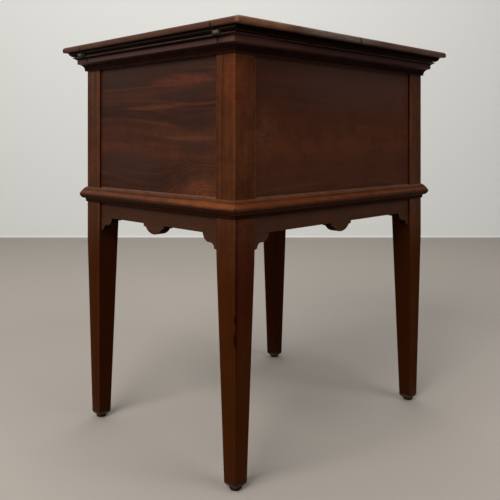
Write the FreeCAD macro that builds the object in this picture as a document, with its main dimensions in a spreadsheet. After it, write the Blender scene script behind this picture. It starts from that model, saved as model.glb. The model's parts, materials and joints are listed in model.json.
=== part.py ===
import FreeCAD, Part
import math
import os
import Sketcher
from FreeCAD import Placement, Rotation, Vector

# Cellarette on four tapered legs. Its top is two leaves that fold outwards on side hinges, while a
# fitted tray rises out of the case on four telescopic lifts.
# Frame: origin on the floor at the centre of the plan, X across the front, Y to the back, Z up.
# The front is the side at -Y, and the left leaf is the one at -X. All sizes are millimetres.

DIMENSIONS = {
    # case
    "case_width": 568.0,  # across the outer faces of the legs, X
    "case_depth": 443.0,  # across the outer faces of the legs, Y
    "apron_level": 415.5,  # floor to the lower edge of the aprons, where the inner faces taper
    "apron_rise": 28.2,  # lower edge of the aprons to the waist moulding
    "waist_height": 31.3,
    "side_height": 238.5,  # waist moulding to cornice
    "cornice_height": 30.0,
    "leaf_gap": 0.3,  # between the top of the case and the closed leaves
    "cut_over": 1.0,  # how far a cut runs past the faces that it opens
    # legs
    "post_size": 46.0,
    "taper_level": 366.0,  # floor to where the outer faces start to taper
    "foot_size": 27.0,
    "foot_inset": 7.0,  # how far an outer face tapers in
    "foot_toe": 4.5,  # chamfer round the foot
    "glide_radius": 10.0,
    "glide_height": 4.5,
    # boards of the case
    "face_recess": 4.0,  # panels and aprons lie behind the leg faces
    "panel_thickness": 20.0,
    "apron_thickness": 20.0,
    "bottom_rise": 2.3,  # lower edge of the waist moulding to the underside of the bottom board
    "bottom_thickness": 10.0,
    "drop_arc_half_width": 25.0,  # centre drop of the aprons
    "drop_shoulder_width": 6.0,
    "drop_shoulder": 5.5,
    "drop_depth": 18.0,
    "bracket_length": 38.0,
    "bracket_depth": 28.0,
    "bracket_thickness": 16.0,
    "bracket_lobe_reach": 18.0,  # where the convex lobe meets the hollow
    "bracket_lobe_depth": 15.0,
    "bracket_lobe_radius": 17.0,
    "bracket_toe_reach": 9.0,
    "bracket_toe_depth": 24.4,
    "bracket_hollow_radius": 9.5,
    "bracket_tip_reach": 2.4,
    "bracket_tip_depth": 26.2,
    # waist moulding, out from the leg faces
    "waist_nose": 11.8,
    "waist_nose_level": 16.7,
    "waist_nose_radius": 13.0,
    "waist_round_radius": 36.0,
    "waist_ledge": 1.6,
    "waist_lip": 6.3,
    "waist_fillet": 3.6,
    "waist_fillet_level": 8.2,
    "waist_foot": 2.4,
    "waist_foot_level": 1.8,
    "waist_cove_radius": 9.0,
    # cornice, out from the leg faces
    "cornice_foot": 4.0,
    "cornice_foot_height": 2.5,
    "cornice_cove_radius": 12.5,
    "cornice_fillet": 15.0,
    "cornice_fillet_level": 14.4,
    "cornice_fillet_height": 8.6,
    "cornice_quirk": 1.2,
    "cornice_tip_reach": 7.0,  # beyond the fillet
    "cornice_tip_height": 3.4,
    "cornice_tip_edge": 0.8,  # upright part of the tip, under its slope
    "cornice_tip_slope": 3.6,  # how far the slope runs in towards the case
    "cornice_ogee_radius": 9.0,
    # leaves
    "overhang_side": 33.0,  # slab beyond the leg faces at the hinge sides
    "overhang_front": 42.6,  # slab beyond the leg faces at front and back
    "slab_thickness": 11.5,
    "slab_round_top": 5.5,
    "slab_round_bottom": 2.6,
    "seam_gap": 2.2,
    "rail_height": 8.5,  # moulded rails under the slab
    "rail_width": 50.0,
    "rail_setback": 7.0,  # extra setback of the rails at front and back
    "rail_quirk": 3.5,  # setback of the rail from the slab's edge at its top
    "rail_bead": 6.8,
    "rail_bead_drop": 4.0,
    "rail_toe": 10.5,
    "rail_toe_height": 1.0,
    "rail_cove_radius": 4.6,
    "rail_round_radius": 4.8,
    "meeting_rail_width": 40.0,
    "lining_recess": 0.8,
    # hinges
    "fold_clearance": 3.2,  # between an open leaf's edge and the fillet of the cornice
    "hinge_inset": 24.0,  # from the outer leg faces at front and back
    "hinge_eye_radius": 3.3,
    "hinge_pin_radius": 1.7,
    "hinge_pin_clearance": 0.05,
    "hinge_plate": 2.0,
    "hinge_side_play": 0.1,  # between neighbours along the pin
    "hinge_barrel_length": 12.0,
    "hinge_tail_length": 1.0,  # pin past the case plate
    "hinge_gain": 0.6,  # room round the barrel in the wood
    "kerf_play": 0.2,
    "leaf_tang_inner": 3.0,
    "leaf_tang_reach": 2.5,  # beyond the pivot axis
    "leaf_tang_lift": 3.5,
    "leaf_tang_height": 9.0,
    "leaf_kerf_inner": 2.0,
    "leaf_kerf_top": 0.6,
    "neck_half_width": 2.3,
    "neck_lap": 1.0,  # how far a neck runs into its tang
    "case_tang_inner": 1.0,
    "case_tang_setback": 0.6,  # behind the fillet of the cornice
    "case_tang_drop": 14.0,
    "case_neck_height": 3.0,
    "case_plate_gap": 0.3,  # below the top of the case
    "case_kerf_inner": 0.5,
    "case_kerf_drop": 14.5,
    # rising tray
    "tray_side_gap": 2.0,  # to the legs and to the front and back panels
    "tray_rest_gap": 0.3,
    "tray_floor_thickness": 9.0,
    "tray_wall_thickness": 9.0,
    "tray_top_gap": 10.0,  # top of the case to the top of the tray's side walls
    "tray_front_height": 96.0,
    "bay_offset": 100.0,  # centre of a bay divider from the middle
    "bay_divider_thickness": 8.0,
    "rack_rise": 165.0,  # top of the tray floor to the underside of the racks
    "cell_height": 92.0,
    "cell_divider_thickness": 7.0,
    "rack_thickness": 8.0,
    "rack_housing": 4.0,
    "rack_hole_radius": 39.0,
    "rack_hole_pitch": 116.0,
    "joint_clearance": 0.1,  # between housed and half-lapped boards
    # telescopic lifts
    "lift_from_leg": 25.5,  # inner face of a leg to the axis of a lift, Y
    "lift_tube_radius": 8.0,
    "lift_tube_height": 224.0,
    "lift_tube_base": 3.0,
    "lift_rod_radius": 5.2,
    "lift_rod_clearance": 0.08,
    "lift_rod_foot_gap": 2.0,
    "lift_bracket_gap": 2.0,  # above the tube when the tray is down
    "lift_bracket_height": 14.0,
    "lift_bracket_half_width": 10.0,
    "lift_bracket_end": 8.0,  # bracket beyond the lift's axis
}

CROSS_DIVIDERS = 3
RACK_HOLES = 3
PARTS_FOLDER = "parts"

doc = FreeCAD.newDocument("cellarette")
nodes = []


class Size:
    """A length that knows its value now and the sheet expression that gives it."""

    def __init__(self, value, text):
        self.value = float(value)
        self.text = text

    def __add__(self, other):
        other = as_size(other)
        return Size(self.value + other.value, f"({self.text} + {other.text})")

    def __sub__(self, other):
        other = as_size(other)
        return Size(self.value - other.value, f"({self.text} - {other.text})")

    def __mul__(self, factor):
        factor = as_size(factor)
        return Size(self.value * factor.value, f"({self.text} * {factor.text})")

    def __truediv__(self, divisor):
        divisor = as_size(divisor)
        return Size(self.value / divisor.value, f"({self.text} / {divisor.text})")

    def __neg__(self):
        return Size(-self.value, f"(0 - {self.text})")


def as_size(number):
    """Give a plain number the form of a Size."""
    if isinstance(number, Size):
        return number
    return Size(number, repr(float(number)))


class Sheet:
    """The spreadsheet of driving dimensions, read as attributes."""

    def __init__(self, dimensions):
        self.cells = doc.addObject("Spreadsheet::Sheet", "dims")
        self.names = set(dimensions)
        for row, (name, value) in enumerate(dimensions.items(), start=1):
            self.cells.set(f"A{row}", name)
            self.cells.set(f"B{row}", str(value))
            self.cells.setAlias(f"B{row}", name)
        doc.recompute()

    def __getattr__(self, name):
        if name not in self.names:
            raise AttributeError(name)
        return Size(getattr(self.cells, name), f"dims.{name}")


dims = Sheet(DIMENSIONS)

# Levels above the floor, and distances from the middle, that several pieces share.
half_width = dims.case_width / 2
half_depth = dims.case_depth / 2
waist_level = dims.apron_level + dims.apron_rise
waist_top = waist_level + dims.waist_height
cornice_level = waist_top + dims.side_height
joint_level = cornice_level + dims.cornice_height
case_top = joint_level - dims.leaf_gap / 2
leaf_underside = joint_level + dims.leaf_gap / 2
slab_level = joint_level + dims.rail_height
total_height = slab_level + dims.slab_thickness
bottom_level = waist_level + dims.bottom_rise
bottom_top = bottom_level + dims.bottom_thickness
panel_inner_x = half_width - dims.face_recess - dims.panel_thickness
panel_inner_y = half_depth - dims.face_recess - dims.panel_thickness
lid_half_width = half_width + dims.overhang_side
lid_half_depth = half_depth + dims.overhang_front
rail_half_depth = lid_half_depth - dims.rail_setback
seam_half = dims.seam_gap / 2
cornice_tip = dims.cornice_fillet + dims.cornice_tip_reach
hinge_reach = (dims.overhang_side + dims.cornice_fillet + dims.fold_clearance) / 2
hinge_x = half_width + hinge_reach
hinge_station = half_depth - dims.hinge_inset
tray_half_width = half_width - dims.post_size - dims.tray_side_gap
tray_half_depth = panel_inner_y - dims.tray_side_gap
tray_level = bottom_top + dims.tray_rest_gap
tray_floor_top = tray_level + dims.tray_floor_thickness
tray_inner_x = tray_half_width - dims.tray_wall_thickness
tray_inner_y = tray_half_depth - dims.tray_wall_thickness
tray_top = case_top - dims.tray_top_gap
rack_level = tray_floor_top + dims.rack_rise
lift_x = (tray_half_width + panel_inner_x) / 2
lift_y = half_depth - dims.post_size - dims.lift_from_leg


# ---- helpers -----------------------------------------------------------------------------------


def bind(item, path, size):
    """Tie a property of a document object to the sheet."""
    size = as_size(size)
    item.setExpression(path, size.text)


def node(item, label):
    """Name a finished sub-part and put it on the list of what is written out."""
    item.Label = label
    nodes.append(item)
    return item


def new_body(name):
    """Start a PartDesign body."""
    return doc.addObject("PartDesign::Body", name)


def turn_half(item):
    """Turn a piece half round about the vertical through the middle, to the opposite side."""
    item.Placement = Placement(Vector(), Rotation(Vector(0, 0, 1), 180))
    return item


def place(item, x, y, z, turn=0):
    """Set a piece down at a bound position, turned about the vertical."""
    item.Placement = Placement(Vector(), Rotation(Vector(0, 0, 1), turn))
    bind(item, "Placement.Base.x", x)
    bind(item, "Placement.Base.y", y)
    bind(item, "Placement.Base.z", z)
    return item


def board(name, low, high):
    """A rectangular board between two bound corners."""
    box = doc.addObject("Part::Box", name)
    bind(box, "Length", as_size(high[0]) - low[0])
    bind(box, "Width", as_size(high[1]) - low[1])
    bind(box, "Height", as_size(high[2]) - low[2])
    return place(box, *low)


def cut(name, base, tools):
    """Take one or more tools out of a base."""
    for number, tool in enumerate(tools):
        result = doc.addObject("Part::Cut", f"{name}_{number}")
        result.Base = base
        result.Tool = tool
        base = result
    return base


def group(name, members):
    """Several equal pieces that share one node."""
    result = doc.addObject("Part::Compound", name)
    result.Links = members
    return result


def new_sketch(body, role, level, name):
    """A sketch on one of the body's own origin planes, moved along the plane's normal."""
    sketch = body.newObject("Sketcher::SketchObject", name)
    plane = next(item for item in body.Origin.OriginFeatures if item.Role == role)
    sketch.AttachmentSupport = (plane, "")
    sketch.MapMode = "FlatFace"
    bind(sketch, "AttachmentOffset.Base.z", level)
    return sketch


def fix(sketch, kind, *reference, size):
    """Add a dimension to a sketch and tie it to the sheet."""
    size = as_size(size)
    index = sketch.addConstraint(Sketcher.Constraint(kind, *reference, size.value))
    sketch.setExpression(f"Constraints[{index}]", size.text)


def arc_between(start, end, radius, bulges_right):
    """The shorter arc from start to end that bulges to one side of the way along it."""
    chord = end - start
    left = Vector(-chord.y, chord.x, 0).normalize()
    rise = math.sqrt(max(radius**2 - (chord.Length / 2) ** 2, 0.0))
    centre = (start + end) * 0.5 + left * (rise if bulges_right else -rise)
    first, last = (start, end) if bulges_right else (end, start)
    angles = [math.atan2(point.y - centre.y, point.x - centre.x) for point in (first, last)]
    if angles[1] < angles[0]:
        angles[1] += 2 * math.pi
    return Part.ArcOfCircle(Part.Circle(centre, Vector(0, 0, 1), radius), *angles)


def outline(body, role, level, corners, name="Outline"):
    """Sketch a closed outline, with every corner tied to the sheet.

    A corner is (u, v), or (u, v, radius) where the edge that arrives at it is an arc. A positive
    radius swells out of the outline and a negative one hollows it.
    """
    sketch = new_sketch(body, role, level, name)
    corners = [tuple(as_size(value) for value in corner) for corner in corners]
    points = [Vector(corner[0].value, corner[1].value, 0) for corner in corners]
    pairs = list(zip(points[-1:] + points[:-1], points))
    counter_clockwise = sum(a.x * b.y - b.x * a.y for a, b in pairs) > 0
    ends = []
    for corner, (start, end) in zip(corners, pairs):
        if len(corner) == 2:
            edge = sketch.addGeometry(Part.LineSegment(start, end), False)
            ends.append((edge, 1, 2))
            continue
        bulges_right = (corner[2].value > 0) == counter_clockwise
        arc = arc_between(start, end, abs(corner[2].value), bulges_right)
        edge = sketch.addGeometry(arc, False)
        ends.append((edge, 1, 2) if bulges_right else (edge, 2, 1))
    for (edge, _, last), (after, first, _) in zip(ends, ends[1:] + ends[:1]):
        sketch.addConstraint(Sketcher.Constraint("Coincident", edge, last, after, first))
    for (edge, _, last), corner in zip(ends, corners):
        fix(sketch, "DistanceX", edge, last, size=corner[0])
        fix(sketch, "DistanceY", edge, last, size=corner[1])
        if len(corner) == 3:
            radius = corner[2] if corner[2].value > 0 else -corner[2]
            fix(sketch, "Radius", edge, size=radius)
    return sketch


def span(sign, near, far):
    """From low to high between two distances from the middle, on one side of it."""
    return (near, far) if sign > 0 else (-far, -near)


def rectangle(low_u, low_v, high_u, high_v):
    """The corners of a rectangle."""
    return [(low_u, low_v), (high_u, low_v), (high_u, high_v), (low_u, high_v)]


def circles(body, role, level, centres, radius, name="Circles"):
    """Sketch equal circles, with centres and radius tied to the sheet."""
    sketch = new_sketch(body, role, level, name)
    for centre in centres:
        u, v = as_size(centre[0]), as_size(centre[1])
        circle = Part.Circle(Vector(u.value, v.value, 0), Vector(0, 0, 1), as_size(radius).value)
        edge = sketch.addGeometry(circle, False)
        fix(sketch, "DistanceX", edge, 3, size=u)
        fix(sketch, "DistanceY", edge, 3, size=v)
        fix(sketch, "Radius", edge, size=radius)
    return sketch


def pad(body, sketch, length, side="One side"):
    """Add material along the normal of a sketch, or half to each side of it."""
    feature = body.newObject("PartDesign::Pad", "Pad")
    feature.Profile = sketch
    feature.SideType = side
    bind(feature, "Length", length)
    return feature


def pocket(body, sketch, length):
    """Cut along the normal of a sketch, and make sure that something was cut."""
    doc.recompute()
    before = body.Shape.Volume
    feature = body.newObject("PartDesign::Pocket", "Pocket")
    feature.Profile = sketch
    feature.Reversed = True
    bind(feature, "Length", length)
    doc.recompute()
    if not body.Shape.Volume < before:
        raise RuntimeError(f"a pocket of {body.Name} cuts nothing")
    return feature


def round_edges(body, feature, radius, chosen):
    """Round the edges of a feature that a test of their two ends picks out."""
    doc.recompute()
    names = []
    for number, edge in enumerate(feature.Shape.Edges, start=1):
        if chosen(edge.firstVertex().Point, edge.lastVertex().Point):
            names.append(f"Edge{number}")
    fillet = body.newObject("PartDesign::Fillet", "Round")
    fillet.Base = (feature, names)
    bind(fillet, "Radius", radius)
    return fillet


def at(value, size):
    """Whether a coordinate lies at a size."""
    return abs(value - as_size(size).value) < 1e-4


def pad_across(body, corners, sign, near, far):
    """Pad an outline in X and Z over a span of Y, from near to far on one side of the middle."""
    _, high = span(sign, near, far)
    return pad(body, outline(body, "XZ_Plane", -high, corners), far - near)


def round_pad_across(body, radius, sign, near, far):
    """Pad a circle on the pivot axis over a span of Y."""
    _, high = span(sign, near, far)
    sketch = circles(body, "XZ_Plane", -high, [(-hinge_x, joint_level)], radius)
    return pad(body, sketch, far - near)


def pocket_across(body, corners, sign, near, far):
    """Cut an outline in X and Z over a span of Y."""
    _, high = span(sign, near, far)
    return pocket(body, outline(body, "XZ_Plane", -high, corners), far - near)


def round_pocket_across(body, radius, sign, near, far):
    """Cut a circle on the pivot axis over a span of Y."""
    _, high = span(sign, near, far)
    sketch = circles(body, "XZ_Plane", -high, [(-hinge_x, joint_level)], radius)
    return pocket(body, sketch, far - near)


def mitre(body, across, face, end, back, reach, signs=(1, -1)):
    """Cut the ends of a moulding at 45 degrees from the corner at (face, end)."""
    for sign in signs:
        inner, outer = face - back, face + reach
        corners = [(-inner, (end - back) * sign), (-outer, (end + reach) * sign)]
        corners.append((-inner, (end + reach) * sign))
        if across == "front":
            corners = [(v, u) for u, v in corners]
        pocket(body, outline(body, "XY_Plane", 0, corners, "Mitre"), total_height)


# ---- legs and case -----------------------------------------------------------------------------


def taper_corners(start, face, foot, toe):
    """What a taper and the chamfer under it take off one side of a leg."""
    low = dims.glide_height
    return [(face, start), (face, low), (toe, low), (foot, low + dims.foot_toe)]


def make_leg(label, x, y, turn):
    """A square post whose lower part tapers to a chamfered foot. Local zero is its outer corner."""
    size = dims.post_size
    foot_low, foot_high = dims.foot_inset, dims.foot_inset + dims.foot_size
    body = new_body(label)
    plan = rectangle(0, 0, size, size)
    pad(body, outline(body, "XY_Plane", dims.glide_height, plan), case_top - dims.glide_height)
    outer = taper_corners(dims.taper_level, as_size(0), foot_low, foot_low + dims.foot_toe)
    inner = taper_corners(dims.apron_level, size, foot_high, foot_high - dims.foot_toe)
    for role, level in (("XZ_Plane", -size), ("YZ_Plane", 0)):
        for corners in (outer, inner):
            pocket(body, outline(body, role, level, corners, "Taper"), size)
    node(place(body, x, y, 0, turn), label)


def make_glide(label, sign_x, sign_y):
    """A steel glide under a foot."""
    centre = dims.foot_inset + dims.foot_size / 2
    body = new_body(label)
    pad(body, circles(body, "XY_Plane", 0, [(0, 0)], dims.glide_radius), dims.glide_height)
    node(place(body, (half_width - centre) * sign_x, (half_depth - centre) * sign_y, 0), label)


def make_legs():
    """Four legs, each turned so that its outer corner faces a corner of the case, and glides."""
    stations = (("front_left", -1, -1, 0), ("front_right", 1, -1, 90))
    stations += (("back_right", 1, 1, 180), ("back_left", -1, 1, 270))
    for name, sign_x, sign_y, turn in stations:
        make_leg(f"leg_{name}", half_width * sign_x, half_depth * sign_y, turn)
        make_glide(f"glide_{name}", sign_x, sign_y)


def make_panel(label, low_x, low_y, high_x, high_y):
    """An upright board of the case, standing on the bottom board."""
    node(board(label, (low_x, low_y, bottom_top), (high_x, high_y, case_top)), label)


def make_panels():
    """Four panels between the legs, behind the leg faces."""
    end_x = half_width - dims.post_size
    end_y = half_depth - dims.post_size
    face_x = half_width - dims.face_recess
    face_y = half_depth - dims.face_recess
    make_panel("panel_front", -end_x, -face_y, end_x, -panel_inner_y)
    make_panel("panel_back", -end_x, panel_inner_y, end_x, face_y)
    make_panel("panel_left", -face_x, -end_y, -panel_inner_x, end_y)
    make_panel("panel_right", panel_inner_x, -end_y, face_x, end_y)


def make_bottom():
    """The bottom board lies on the aprons and is notched round the legs."""
    face_x, face_y = half_width - dims.face_recess, half_depth - dims.face_recess
    notch_x, notch_y = half_width - dims.post_size, half_depth - dims.post_size
    body = new_body("bottom_board")
    corners = [(-notch_x, -face_y), (notch_x, -face_y), (notch_x, -notch_y), (face_x, -notch_y)]
    corners += [(face_x, notch_y), (notch_x, notch_y), (notch_x, face_y), (-notch_x, face_y)]
    corners += [(-notch_x, notch_y), (-face_x, notch_y), (-face_x, -notch_y), (-notch_x, -notch_y)]
    sketch = outline(body, "XY_Plane", bottom_level, corners)
    pad(body, sketch, dims.bottom_thickness)
    node(body, "bottom_board")


def apron_corners(end):
    """Outline of an apron: straight top, and a shouldered round drop in the middle below."""
    top = bottom_level
    low = dims.apron_level
    shoulder = low - dims.drop_shoulder
    sagitta = dims.drop_depth - dims.drop_shoulder
    arc = dims.drop_arc_half_width
    wide = arc + dims.drop_shoulder_width
    radius = (arc * arc + sagitta * sagitta) / (sagitta * 2)
    corners = [(-end, top), (-end, low), (-wide, low), (-wide, shoulder), (-arc, shoulder)]
    corners += [(arc, shoulder, radius), (wide, shoulder), (wide, low), (end, low), (end, top)]
    return corners


def make_apron(label, across, opposite):
    """An apron under one side of the case."""
    body = new_body(label)
    if across == "front":
        role, end = "XZ_Plane", half_width - dims.post_size
        level = half_depth - dims.face_recess - dims.apron_thickness
    else:
        role, end = "YZ_Plane", half_depth - dims.post_size
        level = dims.face_recess - half_width
    pad(body, outline(body, role, level, apron_corners(end)), dims.apron_thickness)
    node(turn_half(body) if opposite else body, label)


def bracket_corners(end, sign):
    """Outline of a corner bracket: a lobe, a hollow and a small fillet, closing on the leg.

    The edge against the leg leans with the inner face of the taper.
    """
    low = dims.apron_level
    inner_taper = dims.post_size - dims.foot_inset - dims.foot_size
    taper_height = low - dims.glide_height - dims.foot_toe
    lean = inner_taper / taper_height * dims.bracket_depth
    lobe = dims.bracket_lobe_radius
    steps = [(-lean, low - dims.bracket_depth)]
    steps.append((dims.bracket_tip_reach, low - dims.bracket_tip_depth))
    steps.append((dims.bracket_toe_reach, low - dims.bracket_toe_depth))
    hollow = -dims.bracket_hollow_radius
    steps.append((dims.bracket_lobe_reach, low - dims.bracket_lobe_depth, hollow))
    steps.append((dims.bracket_length, low, lobe))
    steps.append((as_size(0), low))
    return [((end - step[0]) * sign, *step[1:]) for step in steps]


def make_brackets(label, across, opposite):
    """A pair of corner brackets under one apron."""
    pair = []
    for sign in (-1, 1):
        body = new_body("bracket_block")
        if across == "front":
            role, end = "XZ_Plane", half_width - dims.post_size
            level = half_depth - dims.face_recess - dims.bracket_thickness
        else:
            role, end = "YZ_Plane", half_depth - dims.post_size
            level = dims.face_recess - half_width
        sketch = outline(body, role, level, bracket_corners(end, sign))
        pad(body, sketch, dims.bracket_thickness)
        pair.append(turn_half(body) if opposite else body)
    node(group("bracket_pair", pair), label)


def moulding_body(label, across, profile, back_low, back_high, reach):
    """A moulding along one side of the case, mitred at the corners.

    The profile is given out from the leg faces. Between the legs a flat strip fills the space to
    the recessed boards.
    """
    body = new_body(label)
    front = across == "front"
    role = "YZ_Plane" if front else "XZ_Plane"
    face, end = (half_depth, half_width) if front else (half_width, half_depth)
    corners = [(-(face + as_size(corner[0])), *corner[1:]) for corner in profile]
    pad(body, outline(body, role, 0, corners, "Profile"), (end + reach) * 2, "Symmetric")
    strip = rectangle(-face, back_low, dims.face_recess - face, back_high)
    pad(body, outline(body, role, 0, strip, "Back"), (end - dims.post_size) * 2, "Symmetric")
    mitre(body, across, face, end, dims.face_recess / 2, reach)
    return body


def waist_profile():
    """Quarter round over a quirk and a small cove."""
    low = waist_level
    return [
        (0, waist_top),
        (0, low),
        (dims.waist_foot, low + dims.waist_foot_level),
        (dims.waist_fillet, low + dims.waist_fillet_level, -dims.waist_cove_radius),
        (dims.waist_lip, low + dims.waist_fillet_level),
        (dims.waist_nose, low + dims.waist_nose_level, dims.waist_nose_radius),
        (dims.waist_ledge, waist_top, dims.waist_round_radius),
    ]


def make_waist(label, across, opposite):
    """The waist moulding along one side."""
    profile = waist_profile()
    reach = dims.waist_nose + dims.cut_over
    body = moulding_body(label, across, profile, waist_level, waist_top, reach)
    node(turn_half(body) if opposite else body, label)


def cornice_profile():
    """Cove under a square fillet, with a small ogee above it."""
    low = cornice_level
    foot = low + dims.cornice_foot_height
    fillet_low = low + dims.cornice_fillet_level
    fillet_high = fillet_low + dims.cornice_fillet_height
    tip_low = case_top - dims.cornice_tip_height
    return [
        (0, case_top),
        (0, low),
        (dims.cornice_foot, low),
        (dims.cornice_foot, foot),
        (dims.cornice_fillet, fillet_low, -dims.cornice_cove_radius),
        (dims.cornice_fillet, fillet_high),
        (dims.cornice_fillet + dims.cornice_quirk, fillet_high),
        (cornice_tip, tip_low, -dims.cornice_ogee_radius),
        (cornice_tip, tip_low + dims.cornice_tip_edge),
        (cornice_tip - dims.cornice_tip_slope, case_top),
    ]


def cut_case_kerfs(body):
    """Kerfs for the case plates of the hinges in a side cornice."""
    near = hinge_station - dims.hinge_side_play - dims.hinge_plate
    low = joint_level - dims.case_kerf_drop
    kerf = rectangle(-hinge_x, low, -(half_width + dims.case_kerf_inner), joint_level)
    for sign in (-1, 1):
        far = hinge_station + dims.hinge_side_play
        pocket_across(body, kerf, sign, near - dims.kerf_play, far)


def cut_barrel_seat(body, sign):
    """Round room for a hinge barrel and its tail in the rail above the joint."""
    gain = dims.hinge_eye_radius + dims.hinge_gain
    reach = dims.hinge_plate + dims.hinge_side_play * 2
    near = hinge_station - reach - dims.hinge_tail_length - dims.hinge_gain
    far = hinge_station + reach + dims.hinge_barrel_length + dims.hinge_gain
    round_pocket_across(body, gain, sign, near, far)


def make_cornice(label, across, opposite):
    """The cornice along one side. The side cornices carry the hinges."""
    profile = cornice_profile()
    reach = cornice_tip + dims.cut_over
    body = moulding_body(label, across, profile, cornice_level, case_top, reach)
    if across == "side":
        cut_case_kerfs(body)
    node(turn_half(body) if opposite else body, label)


def make_sides():
    """What lies along each of the four sides of the case."""
    sides = (("front", "front", False), ("back", "front", True))
    sides += (("left", "side", False), ("right", "side", True))
    for name, across, opposite in sides:
        make_apron(f"apron_{name}", across, opposite)
        make_brackets(f"corner_brackets_{name}", across, opposite)
        make_waist(f"waist_moulding_{name}", across, opposite)
        make_cornice(f"cornice_{name}", across, opposite)


# ---- leaves ------------------------------------------------------------------------------------


def rail_profile(edge):
    """Section of a rail under the slab: a cove over a round, running back under the slab."""
    bead_level = slab_level - dims.rail_bead_drop
    return [
        (edge - dims.rail_width, slab_level),
        (edge - dims.rail_width, leaf_underside),
        (edge - dims.rail_toe, leaf_underside),
        (edge - dims.rail_toe, leaf_underside + dims.rail_toe_height),
        (edge - dims.rail_bead, bead_level, dims.rail_round_radius),
        (edge - dims.rail_quirk, slab_level, -dims.rail_cove_radius),
    ]


def make_slab(label, opposite):
    """The top board of a leaf, with a rounded nose on its three outer sides."""
    body = new_body(label)
    corners = rectangle(-lid_half_width, -lid_half_depth, -seam_half, lid_half_depth)
    slab = pad(body, outline(body, "XY_Plane", slab_level, corners), dims.slab_thickness)

    def outer(first, last, level):
        level_ends = at(first.z, level) and at(last.z, level)
        side = at(first.x, -lid_half_width) and at(last.x, -lid_half_width)
        ends = at(abs(first.y), lid_half_depth) and at(first.y, last.y)
        return level_ends and (side or ends)

    top = round_edges(body, slab, dims.slab_round_top, lambda a, b: outer(a, b, total_height))
    round_edges(body, top, dims.slab_round_bottom, lambda a, b: outer(a, b, slab_level))
    top_of_kerf = joint_level + dims.leaf_tang_lift + dims.leaf_tang_height + dims.leaf_kerf_top
    inner = -(half_width + dims.leaf_kerf_inner)
    kerf = rectangle(-lid_half_width - dims.cut_over, slab_level - dims.cut_over,
                     inner, top_of_kerf)
    for sign in (-1, 1):
        pocket_across(body, kerf, sign, *leaf_kerf_span())
    node(turn_half(body) if opposite else body, label)


def leaf_kerf_span():
    """Where the kerf for a leaf plate starts and ends in Y."""
    near = hinge_station + dims.hinge_side_play - dims.kerf_play
    far = hinge_station + dims.hinge_side_play + dims.hinge_plate + dims.kerf_play
    return near, far


def make_side_rail(label, opposite):
    """The moulded rail along the hinge side of a leaf, mitred at both ends."""
    body = new_body(label)
    corners = [(-as_size(corner[0]), *corner[1:]) for corner in rail_profile(lid_half_width)]
    pad(body, outline(body, "XZ_Plane", 0, corners, "Profile"), rail_half_depth * 2, "Symmetric")
    over = dims.cut_over
    mitre(body, "side", lid_half_width, rail_half_depth, dims.rail_width + over, over)
    inner = -(half_width + dims.leaf_kerf_inner)
    kerf = rectangle(-lid_half_width, joint_level, inner, slab_level)
    for sign in (-1, 1):
        pocket_across(body, kerf, sign, *leaf_kerf_span())
        cut_barrel_seat(body, sign)
    node(turn_half(body) if opposite else body, label)


def make_end_rail(label, sign, opposite):
    """The moulded rail along the front or back of a leaf, mitred at its outer end."""
    body = new_body(label)
    corners = [(as_size(corner[0]) * sign, *corner[1:]) for corner in rail_profile(rail_half_depth)]
    sketch = outline(body, "YZ_Plane", -lid_half_width, corners, "Profile")
    pad(body, sketch, lid_half_width - seam_half)
    over = dims.cut_over
    inner = dims.rail_width + over
    ends = [(-(lid_half_width - inner), (rail_half_depth - inner) * sign)]
    ends.append((-(lid_half_width + over), (rail_half_depth + over) * sign))
    ends.append((-(lid_half_width + over), (rail_half_depth - inner) * sign))
    pocket(body, outline(body, "XY_Plane", 0, ends, "Mitre"), total_height)
    node(turn_half(body) if opposite else body, label)


def make_leaf(side, opposite):
    """One leaf of the top: slab, moulded rails, meeting rail and lining."""
    make_slab(f"top_board_{side}", opposite)
    make_side_rail(f"lid_rail_{side}_hinge", opposite)
    sign = 1 if opposite else -1
    make_end_rail(f"lid_rail_{side}_front", sign, opposite)
    make_end_rail(f"lid_rail_{side}_back", -sign, opposite)
    inner_y = rail_half_depth - dims.rail_width
    meeting = seam_half + dims.meeting_rail_width
    low, high = span(sign, seam_half, meeting)
    rail = board("meeting_board", (low, -inner_y, leaf_underside), (high, inner_y, slab_level))
    node(rail, f"meeting_rail_{side}")
    low, high = span(sign, meeting, lid_half_width - dims.rail_width)
    lining_level = leaf_underside + dims.lining_recess
    lining = board("lining_board", (low, -inner_y, lining_level), (high, inner_y, slab_level))
    node(lining, f"leaf_lining_{side}")


# ---- hinges ------------------------------------------------------------------------------------


def make_leaf_plate(name, sign):
    """The plate of a hinge that is let into the leaf: tang, neck and eye."""
    near = hinge_station + dims.hinge_side_play
    far = near + dims.hinge_plate
    body = new_body(name)
    outer = -(hinge_x + dims.leaf_tang_reach)
    inner = -(half_width + dims.leaf_tang_inner)
    low = joint_level + dims.leaf_tang_lift
    pad_across(body, rectangle(outer, low, inner, low + dims.leaf_tang_height), sign, near, far)
    neck = rectangle(-hinge_x - dims.neck_half_width, joint_level,
                     dims.neck_half_width - hinge_x, low + dims.neck_lap)
    pad_across(body, neck, sign, near, far)
    round_pad_across(body, dims.hinge_eye_radius, sign, near, far)
    bore = dims.hinge_pin_radius + dims.hinge_pin_clearance
    round_pocket_across(body, bore, sign, near, far)
    return body


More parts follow.
